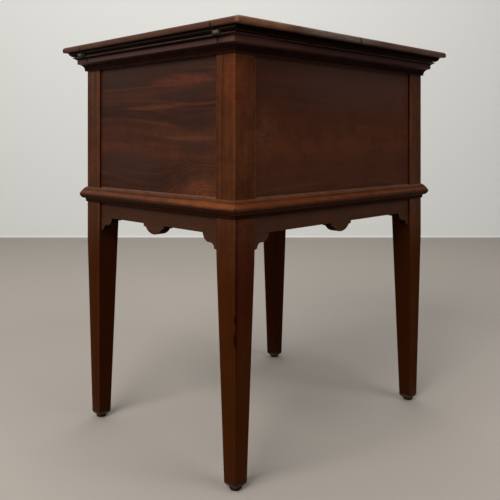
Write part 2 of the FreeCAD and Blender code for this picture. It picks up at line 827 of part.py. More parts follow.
def make_case_plate(name, sign):
    """The plate of a hinge that is let into the cornice: tang, neck and eye."""
    far = hinge_station - dims.hinge_side_play
    near = far - dims.hinge_plate
    body = new_body(name)
    outer = dims.case_tang_setback - dims.cornice_fillet - half_width
    inner = -(half_width + dims.case_tang_inner)
    top = case_top - dims.case_plate_gap
    low = joint_level - dims.case_tang_drop
    pad_across(body, rectangle(outer, low, inner, top), sign, near, far)
    neck = rectangle(-hinge_x, top - dims.case_neck_height, outer + dims.neck_lap, top)
    pad_across(body, neck, sign, near, far)
    round_pad_across(body, dims.hinge_eye_radius, sign, near, far)
    bore = dims.hinge_pin_radius + dims.hinge_pin_clearance
    round_pocket_across(body, bore, sign, near, far)
    return body


def make_hinge_pin(name, sign):
    """A hinge pin: a barrel outside the plates, and a shaft through both."""
    body = new_body(name)
    reach = dims.hinge_plate + dims.hinge_side_play * 2
    barrel = hinge_station + reach
    tail = hinge_station - reach - dims.hinge_tail_length
    round_pad_across(body, dims.hinge_eye_radius, sign, barrel, barrel + dims.hinge_barrel_length)
    round_pad_across(body, dims.hinge_pin_radius, sign, tail, barrel)
    return body


def make_hinges():
    """Four hinges: plates and pins, grouped by the body that carries them."""
    case_plates, pins = [], []
    for side, opposite in (("left", False), ("right", True)):
        leaf_plates = []
        for sign in (-1, 1):
            leaf_plates.append(make_leaf_plate(f"leaf_plate_{side}", sign))
            case_plates.append(make_case_plate(f"case_plate_{side}", sign))
            pins.append(make_hinge_pin(f"pin_{side}", sign))
            if opposite:
                for piece in (leaf_plates[-1], case_plates[-1], pins[-1]):
                    turn_half(piece)
        node(group("leaf_plates", leaf_plates), f"hinge_leaf_plates_{side}")
    node(group("case_plates", case_plates), "hinge_case_plates")
    node(group("pins", pins), "hinge_pins")


# ---- rising tray -------------------------------------------------------------------------------


def make_tray_box():
    """Floor, low front and back walls, and tall side walls that house the racks."""
    x, y = tray_half_width, tray_half_depth
    node(board("tray_floor", (-x, -y, tray_level), (x, y, tray_floor_top)), "tray_floor")
    low_top = tray_floor_top + dims.tray_front_height
    for name, low_y, high_y in (("front", -y, -tray_inner_y), ("back", tray_inner_y, y)):
        wall = board(f"wall_{name}", (-tray_inner_x, low_y, tray_floor_top),
                     (tray_inner_x, high_y, low_top))
        node(wall, f"tray_wall_{name}")
    for name, sign in (("left", -1), ("right", 1)):
        low, high = span(sign, tray_inner_x, x)
        wall = board(f"side_{name}", (low, -y, tray_floor_top), (high, y, tray_top))
        depth = dims.rack_housing + dims.joint_clearance
        low, high = span(sign, tray_inner_x, tray_inner_x + depth)
        groove_top = rack_level + dims.rack_thickness + dims.joint_clearance
        groove = board(f"groove_{name}", (low, -y, rack_level), (high, y, groove_top))
        node(cut(f"housed_{name}", wall, [groove]), f"tray_wall_{name}")


def make_dividers():
    """Bay dividers, and a half-lapped crate of centre and cross dividers between them."""
    half = dims.bay_divider_thickness / 2
    for name, sign in (("left", -1), ("right", 1)):
        centre = dims.bay_offset * sign
        divider = board(f"bay_{name}", (centre - half, -tray_inner_y, tray_floor_top),
                        (centre + half, tray_inner_y, rack_level))
        node(divider, f"bay_divider_{name}")
    thin = dims.cell_divider_thickness / 2
    lap = thin + dims.joint_clearance
    middle = tray_floor_top + dims.cell_height / 2
    top = tray_floor_top + dims.cell_height
    end = dims.bay_offset - half
    pitch = tray_inner_y * 2 / (CROSS_DIVIDERS + 1)
    stations = [pitch * (number + 1) - tray_inner_y for number in range(CROSS_DIVIDERS)]
    centre_board = board("centre_board", (-thin, -tray_inner_y, tray_floor_top),
                         (thin, tray_inner_y, top))
    laps = [board("lap", (-lap, y - lap, middle), (lap, y + lap, top)) for y in stations]
    node(cut("lapped_centre", centre_board, laps), "centre_divider")
    cross = []
    for y in stations:
        plank = board("cross_board", (-end, y - thin, tray_floor_top), (end, y + thin, top))
        lap_below = board("lap", (-lap, y - lap, tray_floor_top), (lap, y + lap, middle))
        cross.append(cut("lapped_cross", plank, [lap_below]))
    node(group("cross_boards", cross), "cross_dividers")


def make_rack(label, sign):
    """A pierced rack for glasses, on a bay divider and housed in a side wall."""
    inner = dims.bay_offset - dims.bay_divider_thickness / 2
    low, high = span(sign, inner, tray_inner_x + dims.rack_housing)
    body = new_body(label)
    plan = rectangle(low, -tray_half_depth, high, tray_half_depth)
    pad(body, outline(body, "XY_Plane", rack_level, plan), dims.rack_thickness)
    centre_x = (dims.bay_offset + dims.bay_divider_thickness / 2 + tray_inner_x) / 2 * sign
    first = (RACK_HOLES - 1) / 2
    centres = [(centre_x, dims.rack_hole_pitch * (number - first)) for number in range(RACK_HOLES)]
    holes = circles(body, "XY_Plane", rack_level, centres, dims.rack_hole_radius)
    pocket(body, holes, dims.rack_thickness)
    node(body, label)


def make_lift_tube(name):
    """The fixed brass tube of a lift, closed at the bottom. Local zero is its axis on the board."""
    body = new_body(name)
    axis = [(0, 0)]
    pad(body, circles(body, "XY_Plane", 0, axis, dims.lift_tube_radius), dims.lift_tube_height)
    bore = dims.lift_rod_radius + dims.lift_rod_clearance
    sketch = circles(body, "XY_Plane", dims.lift_tube_base, axis, bore)
    pocket(body, sketch, dims.lift_tube_height - dims.lift_tube_base)
    return body


def make_lift_rod(name, top):
    """The rod that slides in a lift tube and carries the tray."""
    body = new_body(name)
    low = dims.lift_tube_base + dims.lift_rod_foot_gap
    sketch = circles(body, "XY_Plane", low, [(0, 0)], dims.lift_rod_radius)
    pad(body, sketch, top - low)
    return body


def make_lift_bracket(name, low):
    """The bracket between a rod and a side wall of the tray. Local +X points to the tray."""
    body = new_body(name)
    wide = dims.lift_bracket_half_width
    plan = rectangle(-dims.lift_bracket_end, -wide, lift_x - tray_half_width, wide)
    pad(body, outline(body, "XY_Plane", low, plan), dims.lift_bracket_height)
    bore = circles(body, "XY_Plane", low, [(0, 0)], dims.lift_rod_radius + dims.hinge_pin_clearance)
    pocket(body, bore, dims.lift_bracket_height)
    return body


def make_lifts():
    """Four telescopic lifts in the wells beside the tray."""
    bracket_low = dims.lift_tube_height + dims.lift_bracket_gap
    rod_top = bracket_low + dims.lift_bracket_height
    tubes, rods, brackets = [], [], []
    for sign_x, turn in ((-1, 0), (1, 180)):
        for sign_y in (-1, 1):
            station = (lift_x * sign_x, lift_y * sign_y, bottom_top, turn)
            tubes.append(place(make_lift_tube("tube"), *station))
            rods.append(place(make_lift_rod("rod", rod_top), *station))
            brackets.append(place(make_lift_bracket("bracket", bracket_low), *station))
    node(group("tubes", tubes), "lift_tubes")
    node(group("rods", rods), "lift_rods")
    node(group("brackets", brackets), "lift_brackets")


# ---- the whole cabinet -------------------------------------------------------------------------


def check_document():
    """Stop if any object failed or any sub-part has no sound shape."""
    for item in doc.Objects:
        if "Invalid" in item.State or "Error" in item.State:
            raise RuntimeError(f"{item.Name} ({item.Label}) failed: {item.State}")
    for item in nodes:
        if item.Shape.isNull() or not item.Shape.isValid():
            raise RuntimeError(f"{item.Label} has no valid shape")


def write_nodes():
    """Write each sub-part to a STEP file with its own name."""
    os.makedirs(PARTS_FOLDER, exist_ok=True)
    for item in nodes:
        item.Shape.exportStep(os.path.join(PARTS_FOLDER, f"{item.Label}.step"))
        print(item.Label, len(item.Shape.Solids), round(item.Shape.Volume, 1))


make_legs()
make_panels()
make_bottom()
make_sides()
make_leaf("left", False)
make_leaf("right", True)
make_hinges()
make_tray_box()
make_dividers()
make_rack("glass_rack_left", -1)
make_rack("glass_rack_right", 1)
make_lifts()
doc.recompute()
check_document()
write_nodes()
print(len(nodes), "sub-parts")
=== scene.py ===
"""Looks of a mahogany cellarette: eased edges, polished wood, brass fittings, light and camera."""

import json
import logging
import math
from collections.abc import Iterable, Sequence
from dataclasses import dataclass, replace
from enum import Enum
from itertools import pairwise
from typing import Any

import bmesh
import bpy
from mathutils import Matrix, Vector

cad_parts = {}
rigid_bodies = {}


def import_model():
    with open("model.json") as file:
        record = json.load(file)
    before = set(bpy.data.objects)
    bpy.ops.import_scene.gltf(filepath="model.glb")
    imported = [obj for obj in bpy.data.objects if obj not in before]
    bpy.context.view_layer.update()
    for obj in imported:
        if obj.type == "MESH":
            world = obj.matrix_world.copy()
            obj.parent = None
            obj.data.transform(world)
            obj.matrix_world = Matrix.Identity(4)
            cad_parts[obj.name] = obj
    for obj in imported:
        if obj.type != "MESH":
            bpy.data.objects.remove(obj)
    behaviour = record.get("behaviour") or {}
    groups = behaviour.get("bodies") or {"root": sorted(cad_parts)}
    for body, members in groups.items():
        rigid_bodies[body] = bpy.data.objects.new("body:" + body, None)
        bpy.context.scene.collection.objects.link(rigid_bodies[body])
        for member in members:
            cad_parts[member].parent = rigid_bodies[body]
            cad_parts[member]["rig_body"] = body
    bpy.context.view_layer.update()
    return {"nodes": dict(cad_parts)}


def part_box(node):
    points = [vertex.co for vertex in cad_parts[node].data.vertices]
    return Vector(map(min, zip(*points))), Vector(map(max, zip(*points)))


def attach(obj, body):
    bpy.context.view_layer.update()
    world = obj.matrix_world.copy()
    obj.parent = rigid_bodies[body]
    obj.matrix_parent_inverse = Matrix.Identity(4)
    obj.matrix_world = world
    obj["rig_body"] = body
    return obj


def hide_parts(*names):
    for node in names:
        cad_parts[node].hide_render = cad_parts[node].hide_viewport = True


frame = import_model()
WAIST_LOW, WAIST_TOP = (corner.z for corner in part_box("waist_moulding_front"))
CORNICE_LOW, CORNICE_TOP = (corner.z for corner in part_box("cornice_front"))

Colour = tuple[float, float, float]
Point = tuple[float, float, float]
Span = tuple[Any, Any]
Shape = bmesh.types.BMesh
Thing = bpy.types.Object
Socket = bpy.types.NodeSocket
Inputs = dict[str, Socket]
Outputs = Sequence[Socket]
ORIGIN: Point = (0.0, 0.0, 0.0)
UPWARD: Point = (0.0, 0.0, 1.0)
SIDES = ("front", "back", "left", "right")
CORNERS = ("front_left", "front_right", "back_right", "back_left")
log = logging.getLogger("cellarette")


# ---- node trees ----


class Wiring:
    """Short calls that add nodes to one node tree and join them."""

    def __init__(self, tree: bpy.types.NodeTree) -> None:
        """Keep the tree that the calls add to."""
        self.tree = tree

    def feed(self, socket: Socket, value: Any) -> None:
        """Link a socket to another, or set its own value."""
        if isinstance(value, Socket):
            self.tree.links.new(value, socket)
        else:
            socket.default_value = value

    def node(
        self, kind: str, inputs: dict[Any, Any] | None = None, **settings: Any
    ) -> bpy.types.Node:
        """Add a node.

        Args:
            kind: Blender's name of the node type.
            inputs: Values or sockets by the name or number of the input.
            settings: Properties of the node itself.

        Returns:
            The new node.
        """
        made = self.tree.nodes.new(kind)
        for name, value in settings.items():
            setattr(made, name, value)
        for key, value in (inputs or {}).items():
            self.feed(made.inputs[key], value)
        return made

    def math(self, operation: str, *values: Any, clamp: bool = False) -> Socket:
        """Join values by one arithmetic operation."""
        inputs = dict(enumerate(values))
        return self.node("ShaderNodeMath", inputs, operation=operation, use_clamp=clamp).outputs[0]

    def times(self, first: Any, second: Any) -> Socket:
        """Multiply two values."""
        return self.math("MULTIPLY", first, second)

    def rest(self, value: Socket) -> Socket:
        """Return what a value leaves of 1."""
        return self.math("SUBTRACT", 1.0, value)

    def vector(self, operation: str, *values: Any, give: str = "Vector") -> Socket:
        """Join vectors by one operation that gives a Vector or a Value."""
        inputs = dict(enumerate(values))
        return self.node("ShaderNodeVectorMath", inputs, operation=operation).outputs[give]

    def split(self, vector: Socket) -> Outputs:
        """Return the X, Y and Z of a vector."""
        return self.node("ShaderNodeSeparateXYZ", {0: vector}).outputs

    def join(self, x: Any = 0.0, y: Any = 0.0, z: Any = 0.0) -> Socket:
        """Make a vector of three values."""
        return self.node("ShaderNodeCombineXYZ", {0: x, 1: y, 2: z}).outputs[0]

    def noise(self, vector: Socket, scale: Any, detail: float, rough: float = 0.5) -> Socket:
        """Sample smooth noise from 0 to 1."""
        inputs = {"Vector": vector, "Scale": scale, "Detail": detail, "Roughness": rough}
        return self.node("ShaderNodeTexNoise", inputs).outputs["Fac"]

    def smooth(self, value: Socket, span: Span, to: float = 1.0) -> Socket:
        """Rise smoothly from 0 at the start of a span to a value at its end."""
        inputs = {"Value": value, "From Min": span[0], "From Max": span[1], "To Max": to}
        return self.node("ShaderNodeMapRange", inputs, interpolation_type="SMOOTHSTEP").outputs[0]

    def mix(self, share: Any, first: Any, second: Any) -> Socket:
        """Mix two colours."""
        inputs = {0: share, 6: opaque(first), 7: opaque(second)}
        return self.node("ShaderNodeMix", inputs, data_type="RGBA").outputs[2]

    def broken(self, mask: Socket, breaks: Socket, whole: Socket) -> Socket:
        """Take a share of a mask away wherever it is not whole."""
        return self.times(mask, self.rest(self.times(breaks, self.rest(whole))))

    def bump(self, strength: float, depth: float, height: Socket) -> Socket:
        """Tilt the surface as if it were raised by a height."""
        inputs = {"Strength": strength, "Distance": depth, "Height": height}
        return self.node("ShaderNodeBump", inputs).outputs[0]

    def arris(self) -> Socket:
        """Return where the eased edges are."""
        return self.node("ShaderNodeAttribute", attribute_name=Easing.MARK).outputs["Fac"]


def opaque(colour: Any) -> Any:
    """Give a plain colour its alpha, and leave a socket as it is."""
    return colour if isinstance(colour, Socket) else (*colour, 1.0)


class Effect:
    """A shader node group that is built once and placed in many materials.

    Attributes:
        name: Name of the group.
        inputs: What it takes, with the values that it has when nothing is given.
        outputs: What it gives.
    """

    name: str
    inputs: dict[str, Any]
    outputs: tuple[str, ...]

    def build(self, wire: Wiring, given: Inputs) -> Outputs:
        """Wire the group and return a socket for each output.

        Args:
            wire: The group's own tree.
            given: The group's inputs by name.

        Returns:
            What feeds each output, in order.
        """
        raise NotImplementedError

    def tree(self) -> bpy.types.NodeTree:
        """Return the group, made on the first call."""
        tree = bpy.data.node_groups.get(self.name)
        if tree:
            return tree
        tree = bpy.data.node_groups.new(self.name, "ShaderNodeTree")
        for name, default in self.inputs.items():
            kind = "NodeSocketVector" if isinstance(default, tuple) else "NodeSocketFloat"
            socket = tree.interface.new_socket(name, in_out="INPUT", socket_type=kind)
            socket.default_value = default
        for name in self.outputs:
            tree.interface.new_socket(name, in_out="OUTPUT", socket_type="NodeSocketFloat")
        wire = Wiring(tree)
        source = wire.node("NodeGroupInput")
        made = self.build(wire, {name: source.outputs[name] for name in self.inputs})
        wire.node("NodeGroupOutput", dict(zip(self.outputs, made)))
        return tree

    def place(self, wire: Wiring, **values: Any) -> Outputs:
        """Put the group into a material.

        Args:
            wire: The material's tree.
            values: Inputs by name, with underscores for spaces.

        Returns:
            The group's outputs.
        """
        inputs = {name.replace("_", " "): value for name, value in values.items()}
        return wire.node("ShaderNodeGroup", inputs, node_tree=self.tree()).outputs


class Figure(Effect):
    """Broad ribbons, growth lines and fine streaks along X, which rise over a swirl."""

    name = "Wood figure"
    inputs = {
        "Vector": ORIGIN,
        "Bands": 18.0,
        "Drift": 0.03,
        "Rings": 60.0,
        "Swirl Centre": ORIGIN,
        "Swirl Radius": 0.05,
        "Swirl Lift": 0.0,
        "Swirl Rings": 0.0,
    }
    outputs = ("Ribbons", "Rings", "Streaks", "Swirl")

    DRIFT_SCALE = (2.2, 5.0, 5.0)
    STREAK_SCALE = (4.0, 210.0, 210.0)
    SWIRL_SQUEEZE = 0.7
    RING_DRIFT = 3.0
    RING_EDGE = (0.26, 0.48)
    RING_FADE = (0.42, 0.7)

    def build(self, wire: Wiring, given: Inputs) -> Outputs:
        """Warp the grain's lines, then sample patterns that are long along them."""
        swirl = self.swell(wire, given)
        slow = wire.vector("MULTIPLY", given["Vector"], self.DRIFT_SCALE)
        wander = wire.math("SUBTRACT", wire.noise(slow, 1.0, 1.0), 0.5)
        lift = wire.times(swirl, given["Swirl Lift"])
        drift = wire.math("SUBTRACT", wire.times(wander, given["Drift"]), lift)
        line = wire.vector("ADD", given["Vector"], wire.join(y=drift, z=drift))
        x, y, z = wire.split(line)
        broad = wire.join(x, wire.times(y, given["Bands"]), wire.times(z, given["Bands"]))
        rings = self.rings(wire, given, wire.math("ADD", y, z), broad, swirl)
        fine = wire.vector("MULTIPLY", line, self.STREAK_SCALE)
        return wire.noise(broad, 1.0, 1.0), rings, wire.noise(fine, 1.0, 3.0, 0.6), swirl

    def swell(self, wire: Wiring, given: Inputs) -> Socket:
        """Return 1 at the middle of the swirl, falling off round it."""
        x, _, z = wire.split(wire.vector("SUBTRACT", given["Vector"], given["Swirl Centre"]))
        flat = wire.join(wire.times(x, self.SWIRL_SQUEEZE), z=z)
        distance = wire.vector("LENGTH", flat, give="Value")
        reach = wire.math("DIVIDE", distance, given["Swirl Radius"])
        return wire.math("EXPONENT", wire.times(wire.times(reach, reach), -1.0))

    def rings(
        self, wire: Wiring, given: Inputs, across: Socket, broad: Socket, swirl: Socket
    ) -> Socket:
        """Return thin growth lines at uneven distances.

        Args:
            wire: The group's own tree.
            given: The group's inputs by name.
            across: Warped place across the grain.
            broad: Warped place, squeezed along the grain.
            swirl: Mask of the swirl, where the lines are closer.

        Returns:
            A mask of the lines, which fade in and out.
        """
        turns = wire.times(across, given["Rings"])
        turns = wire.math("SUBTRACT", turns, wire.times(swirl, given["Swirl Rings"]))
        drift = wire.times(wire.noise(broad, 0.8, 1.0), self.RING_DRIFT)
        wave = wire.math("PINGPONG", wire.math("ADD", turns, drift), 0.5)
        patches = wire.smooth(wire.noise(broad, 2.3, 1.0), self.RING_FADE)
        seen = wire.math("ADD", patches, swirl, clamp=True)
        return wire.times(wire.smooth(wave, self.RING_EDGE), seen)


class Pores(Effect):
    """Short dark open pores along X."""

    name = "Wood pores"
    inputs = {"Vector": ORIGIN}
    outputs = ("Pores",)

    LENGTH, WIDTH = 0.014, 0.0007
    OPEN = (0.56, 0.68)

    def build(self, wire: Wiring, given: Inputs) -> Outputs:
        """Cut thin streaks out of stretched noise."""
        scale = (1.0 / self.LENGTH, 1.0 / self.WIDTH, 1.0 / self.WIDTH)
        place = wire.vector("MULTIPLY", given["Vector"], scale)
        return (wire.smooth(wire.noise(place, 1.0, 1.0), self.OPEN),)


class WornArris(Effect):
    """Where the polish has rubbed off the eased edges."""

    name = "Worn arris"
    inputs = {"Vector": ORIGIN, "Arris": 0.0, "Patches": 22.0}
    outputs = ("Rubbed",)

    BARE = (0.38, 0.62)

    def build(self, wire: Wiring, given: Inputs) -> Outputs:
        """Keep the wear to the edges, in patches of uneven length."""
        noise = wire.noise(given["Vector"], given["Patches"], 3.0, 0.65)
        patches = wire.smooth(noise, self.BARE)
        return (wire.times(patches, given["Arris"]),)


class Handling(Effect):
    """Cloudy rubbing, fine cloth marks and mottled colour in old polish."""

    name = "Handled polish"
    inputs = {"Vector": ORIGIN}
    outputs = ("Clouds", "Smears", "Mottle")

    SMEAR_SCALE = (90.0, 30.0, 60.0)

    def build(self, wire: Wiring, given: Inputs) -> Outputs:
        """Sample a soft, a fine and a blotchy uneven layer."""
        place = given["Vector"]
        smears = wire.noise(wire.vector("MULTIPLY", place, self.SMEAR_SCALE), 1.0, 2.0)
        return wire.noise(place, 7.0, 3.0, 0.6), smears, wire.noise(place, 30.0, 4.0, 0.7)


class SettledDust(Effect):
    """Dust that lies on ledges that face up."""

    name = "Settled dust"
    inputs = {"Vector": ORIGIN, "Normal": UPWARD}
    outputs = ("Dust",)

    LEVEL = (0.86, 0.99)
    THICK = (0.3, 0.7)

    def build(self, wire: Wiring, given: Inputs) -> Outputs:
        """Let the slope choose the faces and noise break them up."""
        level = wire.smooth(wire.split(given["Normal"])[2], self.LEVEL)
        uneven = wire.smooth(wire.noise(given["Vector"], 130.0, 3.0, 0.6), self.THICK)
        return (wire.times(level, uneven),)


class LevelLine(Effect):
    """A broken line that runs level round the cabinet: dust, wear, painted shade in a quirk or
    under an overhang, or a painted highlight along a moulding.
    """

    name = "Level line"
    inputs = {
        "Vector": ORIGIN, "Normal": UPWARD, "Level": 0.0, "Spread": 0.002, "Breaks": 0.3
    }
    outputs = ("Line",)

    CORE = 0.45
    WHOLE = (0.28, 0.62)
    SEEN = (-0.97, -0.85)

    def build(self, wire: Wiring, given: Inputs) -> Outputs:
        """Fade away from the level and off faces that look down, and break it up with noise."""
        height = wire.split(given["Vector"])[2]
        away = wire.math("ABSOLUTE", wire.math("SUBTRACT", height, given["Level"]))
        core = wire.times(given["Spread"], self.CORE)
        line = wire.rest(wire.smooth(away, (core, given["Spread"])))
        line = wire.times(line, wire.smooth(wire.split(given["Normal"])[2], self.SEEN))
        whole = wire.smooth(wire.noise(given["Vector"], 55.0, 3.0, 0.6), self.WHOLE)
        return (wire.broken(line, given["Breaks"], whole),)


class WearAndPaintedLightPatch(Effect):
    """A patch of rubbed polish, a knot or a dark seam, or a patch of painted light or painted
    shade.
    """

    name = "Wear and painted light patch"
    inputs = {"Vector": ORIGIN, "Centre": ORIGIN, "Size": (0.1, 0.1, 0.1), "Breaks": 1.0}
    outputs = ("Patch",)

    FADE = (0.35, 1.0)
    WHOLE = (0.38, 0.58)
    BREAK_SCALE = (60.0, 60.0, 160.0)

    def build(self, wire: Wiring, given: Inputs) -> Outputs:
        """Fade away from the centre and break the patch up with noise."""
        away = wire.vector("SUBTRACT", given["Vector"], given["Centre"])
        distance = wire.vector("LENGTH", wire.vector("DIVIDE", away, given["Size"]), give="Value")
        patch = wire.rest(wire.smooth(distance, self.FADE))
        stretched = wire.vector("MULTIPLY", given["Vector"], self.BREAK_SCALE)
        whole = wire.smooth(wire.noise(stretched, 1.0, 3.0, 0.7), self.WHOLE)
        return (wire.broken(patch, given["Breaks"], whole),)


class InwardFace(Effect):
    """The faces of a leg that look in under the case."""

    name = "Inward face"
    inputs = {"Vector": ORIGIN, "Normal": UPWARD}
    outputs = ("Inward",)

    TURNED = (0.04, 0.14)

    def build(self, wire: Wiring, given: Inputs) -> Outputs:
        """Compare the way a face looks with the way to the middle of the case."""
        inward = wire.vector("MULTIPLY", given["Vector"], (-1.0, -1.0, 0.0))
        turn = wire.vector("DOT_PRODUCT", inward, given["Normal"], give="Value")
        return (wire.smooth(turn, self.TURNED),)


class SawnEdge(Effect):
    """The edges of a shaped board, which face neither out nor in."""

    name = "Sawn edge"
    inputs = {"Normal": (0.0, 1.0, 0.0)}
    outputs = ("Edge",)

    OUTWARD = (0.6, 0.85)

    def build(self, wire: Wiring, given: Inputs) -> Outputs:
        """Keep the faces that turn away from Y."""
        out = wire.math("ABSOLUTE", wire.split(given["Normal"])[1])
        return (wire.rest(wire.smooth(out, self.OUTWARD)),)


# ---- finishes ----

DUST_COLOUR: Colour = (0.19, 0.165, 0.14)
# Painted shade for the faces of legs that look in under the case.
SHADED_COLOUR: Colour = (0.009, 0.0013, 0.0004)
# Painted shade for the sawn edges of shaped boards.
SAWN_EDGE_SHADE: Colour = (0.004, 0.0018, 0.0012)
KNOT_COLOUR: Colour = (0.012, 0.0022, 0.0008)
# A dark seam between the leaves, and painted shade in the notches where the hinge plates are let
# into the top.
DARK_SEAM_AND_NOTCH_SHADE: Colour = (0.0025, 0.0016, 0.0012)


class Grain(Enum):
    """Which way the grain runs, as the turn that brings it to X."""

    ACROSS = (0.0, 0.0, 0.0)
    BACK = (0.0, 0.0, -math.pi / 2)
    UP = (0.0, math.pi / 2, 0.0)

    @classmethod
    def along(cls, side: str) -> "Grain":
        """Return the grain of a board that runs along a side of the case."""
        return cls.ACROSS if side in ("front", "back") else cls.BACK

    def turn(self, wire: Wiring, vector: Socket, kind: str = "POINT") -> Socket:
        """Turn a place or a normal so that X runs along the grain."""
        inputs = {"Vector": vector, "Rotation": self.value}
        return wire.node("ShaderNodeMapping", inputs, vector_type=kind).outputs[0]

    def turned(self, point: Point) -> Vector:
        """Turn a known point in the same way."""
        _, tilt, swing = self.value
        return Matrix.Rotation(swing, 3, "Z") @ Matrix.Rotation(tilt, 3, "Y") @ Vector(point)


@dataclass(frozen=True)
class Swirl:
    """A place in a board where the figure swells round a crotch.

    Attributes:
        centre: Its place in the frame.
        radius: How far it reaches.
        lift: How far the lines rise over it.
        rings: How many more growth lines it has.
        tint: Colour of the growth lines in it.
        even: How much of the colour lies between the lines.
        lined: How much more of it lies on them.
    """

    centre: Point
    radius: float
    lift: float
    rings: float = 4.0
    tint: Colour = (0.145, 0.045, 0.0155)
    even: float = 0.15
    lined: float = 0.75


@dataclass(frozen=True)
class Line:
    """A level line of dust or wear, or of painted shade or a painted highlight.

    Attributes:
        level: Its height in the frame.
        spread: How far it fades up and down.
        colour: Its colour.
        share: How much it covers.
        breaks: How broken it is, from 0 to 1.
        dull: How much of the shine it takes away.
    """

    level: float
    spread: float
    colour: Colour
    share: float
    breaks: float = 0.5
    dull: float = 0.0

    def mask(self, wire: Wiring, where: Inputs) -> Socket:
        """Wire where it lies."""
        return LevelLine().place(
            wire, **where, Level=self.level, Spread=self.spread, Breaks=self.breaks
        )["Line"]


@dataclass(frozen=True)
class Patch:
    """A patch of wear, a knot or a dark seam, or a patch of painted light or painted shade.

    Attributes:
        centre: Its middle in the frame.
        size: How far it reaches along each axis.
        colour: Its colour.
        share: How much it covers.
        breaks: How broken it is, from 0 to 1.
        dull: How much of the shine it takes away, which is none.
    """

    FRONT_Y, FRONT_DEPTH = -0.21, 0.03
    LEFT_X, LEFT_DEPTH = -0.28, 0.02
    dull = 0.0

    centre: Point
    size: Point
    colour: Colour
    share: float
    breaks: float = 1.0

    @classmethod
    def front(cls, x: float, z: float, wide: float, high: float, *look: Any) -> "Patch":
        """Return a patch on the front panel."""
        return cls((x, cls.FRONT_Y, z), (wide, cls.FRONT_DEPTH, high), *look)

    @classmethod
    def left(cls, y: float, z: float, wide: float, high: float, *look: Any) -> "Patch":
        """Return a patch on the left panel."""
        return cls((cls.LEFT_X, y, z), (cls.LEFT_DEPTH, wide, high), *look)

    def mask(self, wire: Wiring, where: Inputs) -> Socket:
        """Wire where it lies."""
        return WearAndPaintedLightPatch().place(
            wire, Vector=where["Vector"], Centre=self.centre, Size=self.size, Breaks=self.breaks
        )["Patch"]


@dataclass
class Surface:
    """Colour of a finish and weight of its polish, as far as they are wired."""

    wire: Wiring
    colour: Socket
    shine: float | Socket

    def cover(self, mask: Socket, share: float, tint: Colour, dull: float = 0.0) -> None:
        """Lay a colour over part of the surface.

        Args:
            mask: Where it lies.
            share: How much it covers there.
            tint: The colour.
            dull: How much of the shine it takes away.
        """
        wire = self.wire
        self.colour = wire.mix(wire.times(mask, share), self.colour, tint)
        if dull:
            self.shine = wire.times(wire.rest(wire.times(mask, dull)), self.shine)


@dataclass(frozen=True)
class Finish:
    """A finish that makes its own material.

    Attributes:
        name: Name of the finish.
        slot: The record's material slot.
    """

    name: str
    slot: str

    def label(self) -> str:
        """Return the material's name."""
        raise NotImplementedError

    def wired(self, wire: Wiring) -> dict[str, Any]:
        """Wire the surface and return what feeds the shader, by input."""
        raise NotImplementedError

    def material(self) -> bpy.types.Material:
        """Return the material, made on the first call."""
        made = bpy.data.materials.get(self.label())
        if made:
            return made
        made = bpy.data.materials.new(self.label())
        made.use_nodes = True
        made.node_tree.nodes.clear()
        wire = Wiring(made.node_tree)
        shader = wire.node("ShaderNodeBsdfPrincipled", self.wired(wire))
        wire.node("ShaderNodeOutputMaterial", {"Surface": shader.outputs[0]})
        return made


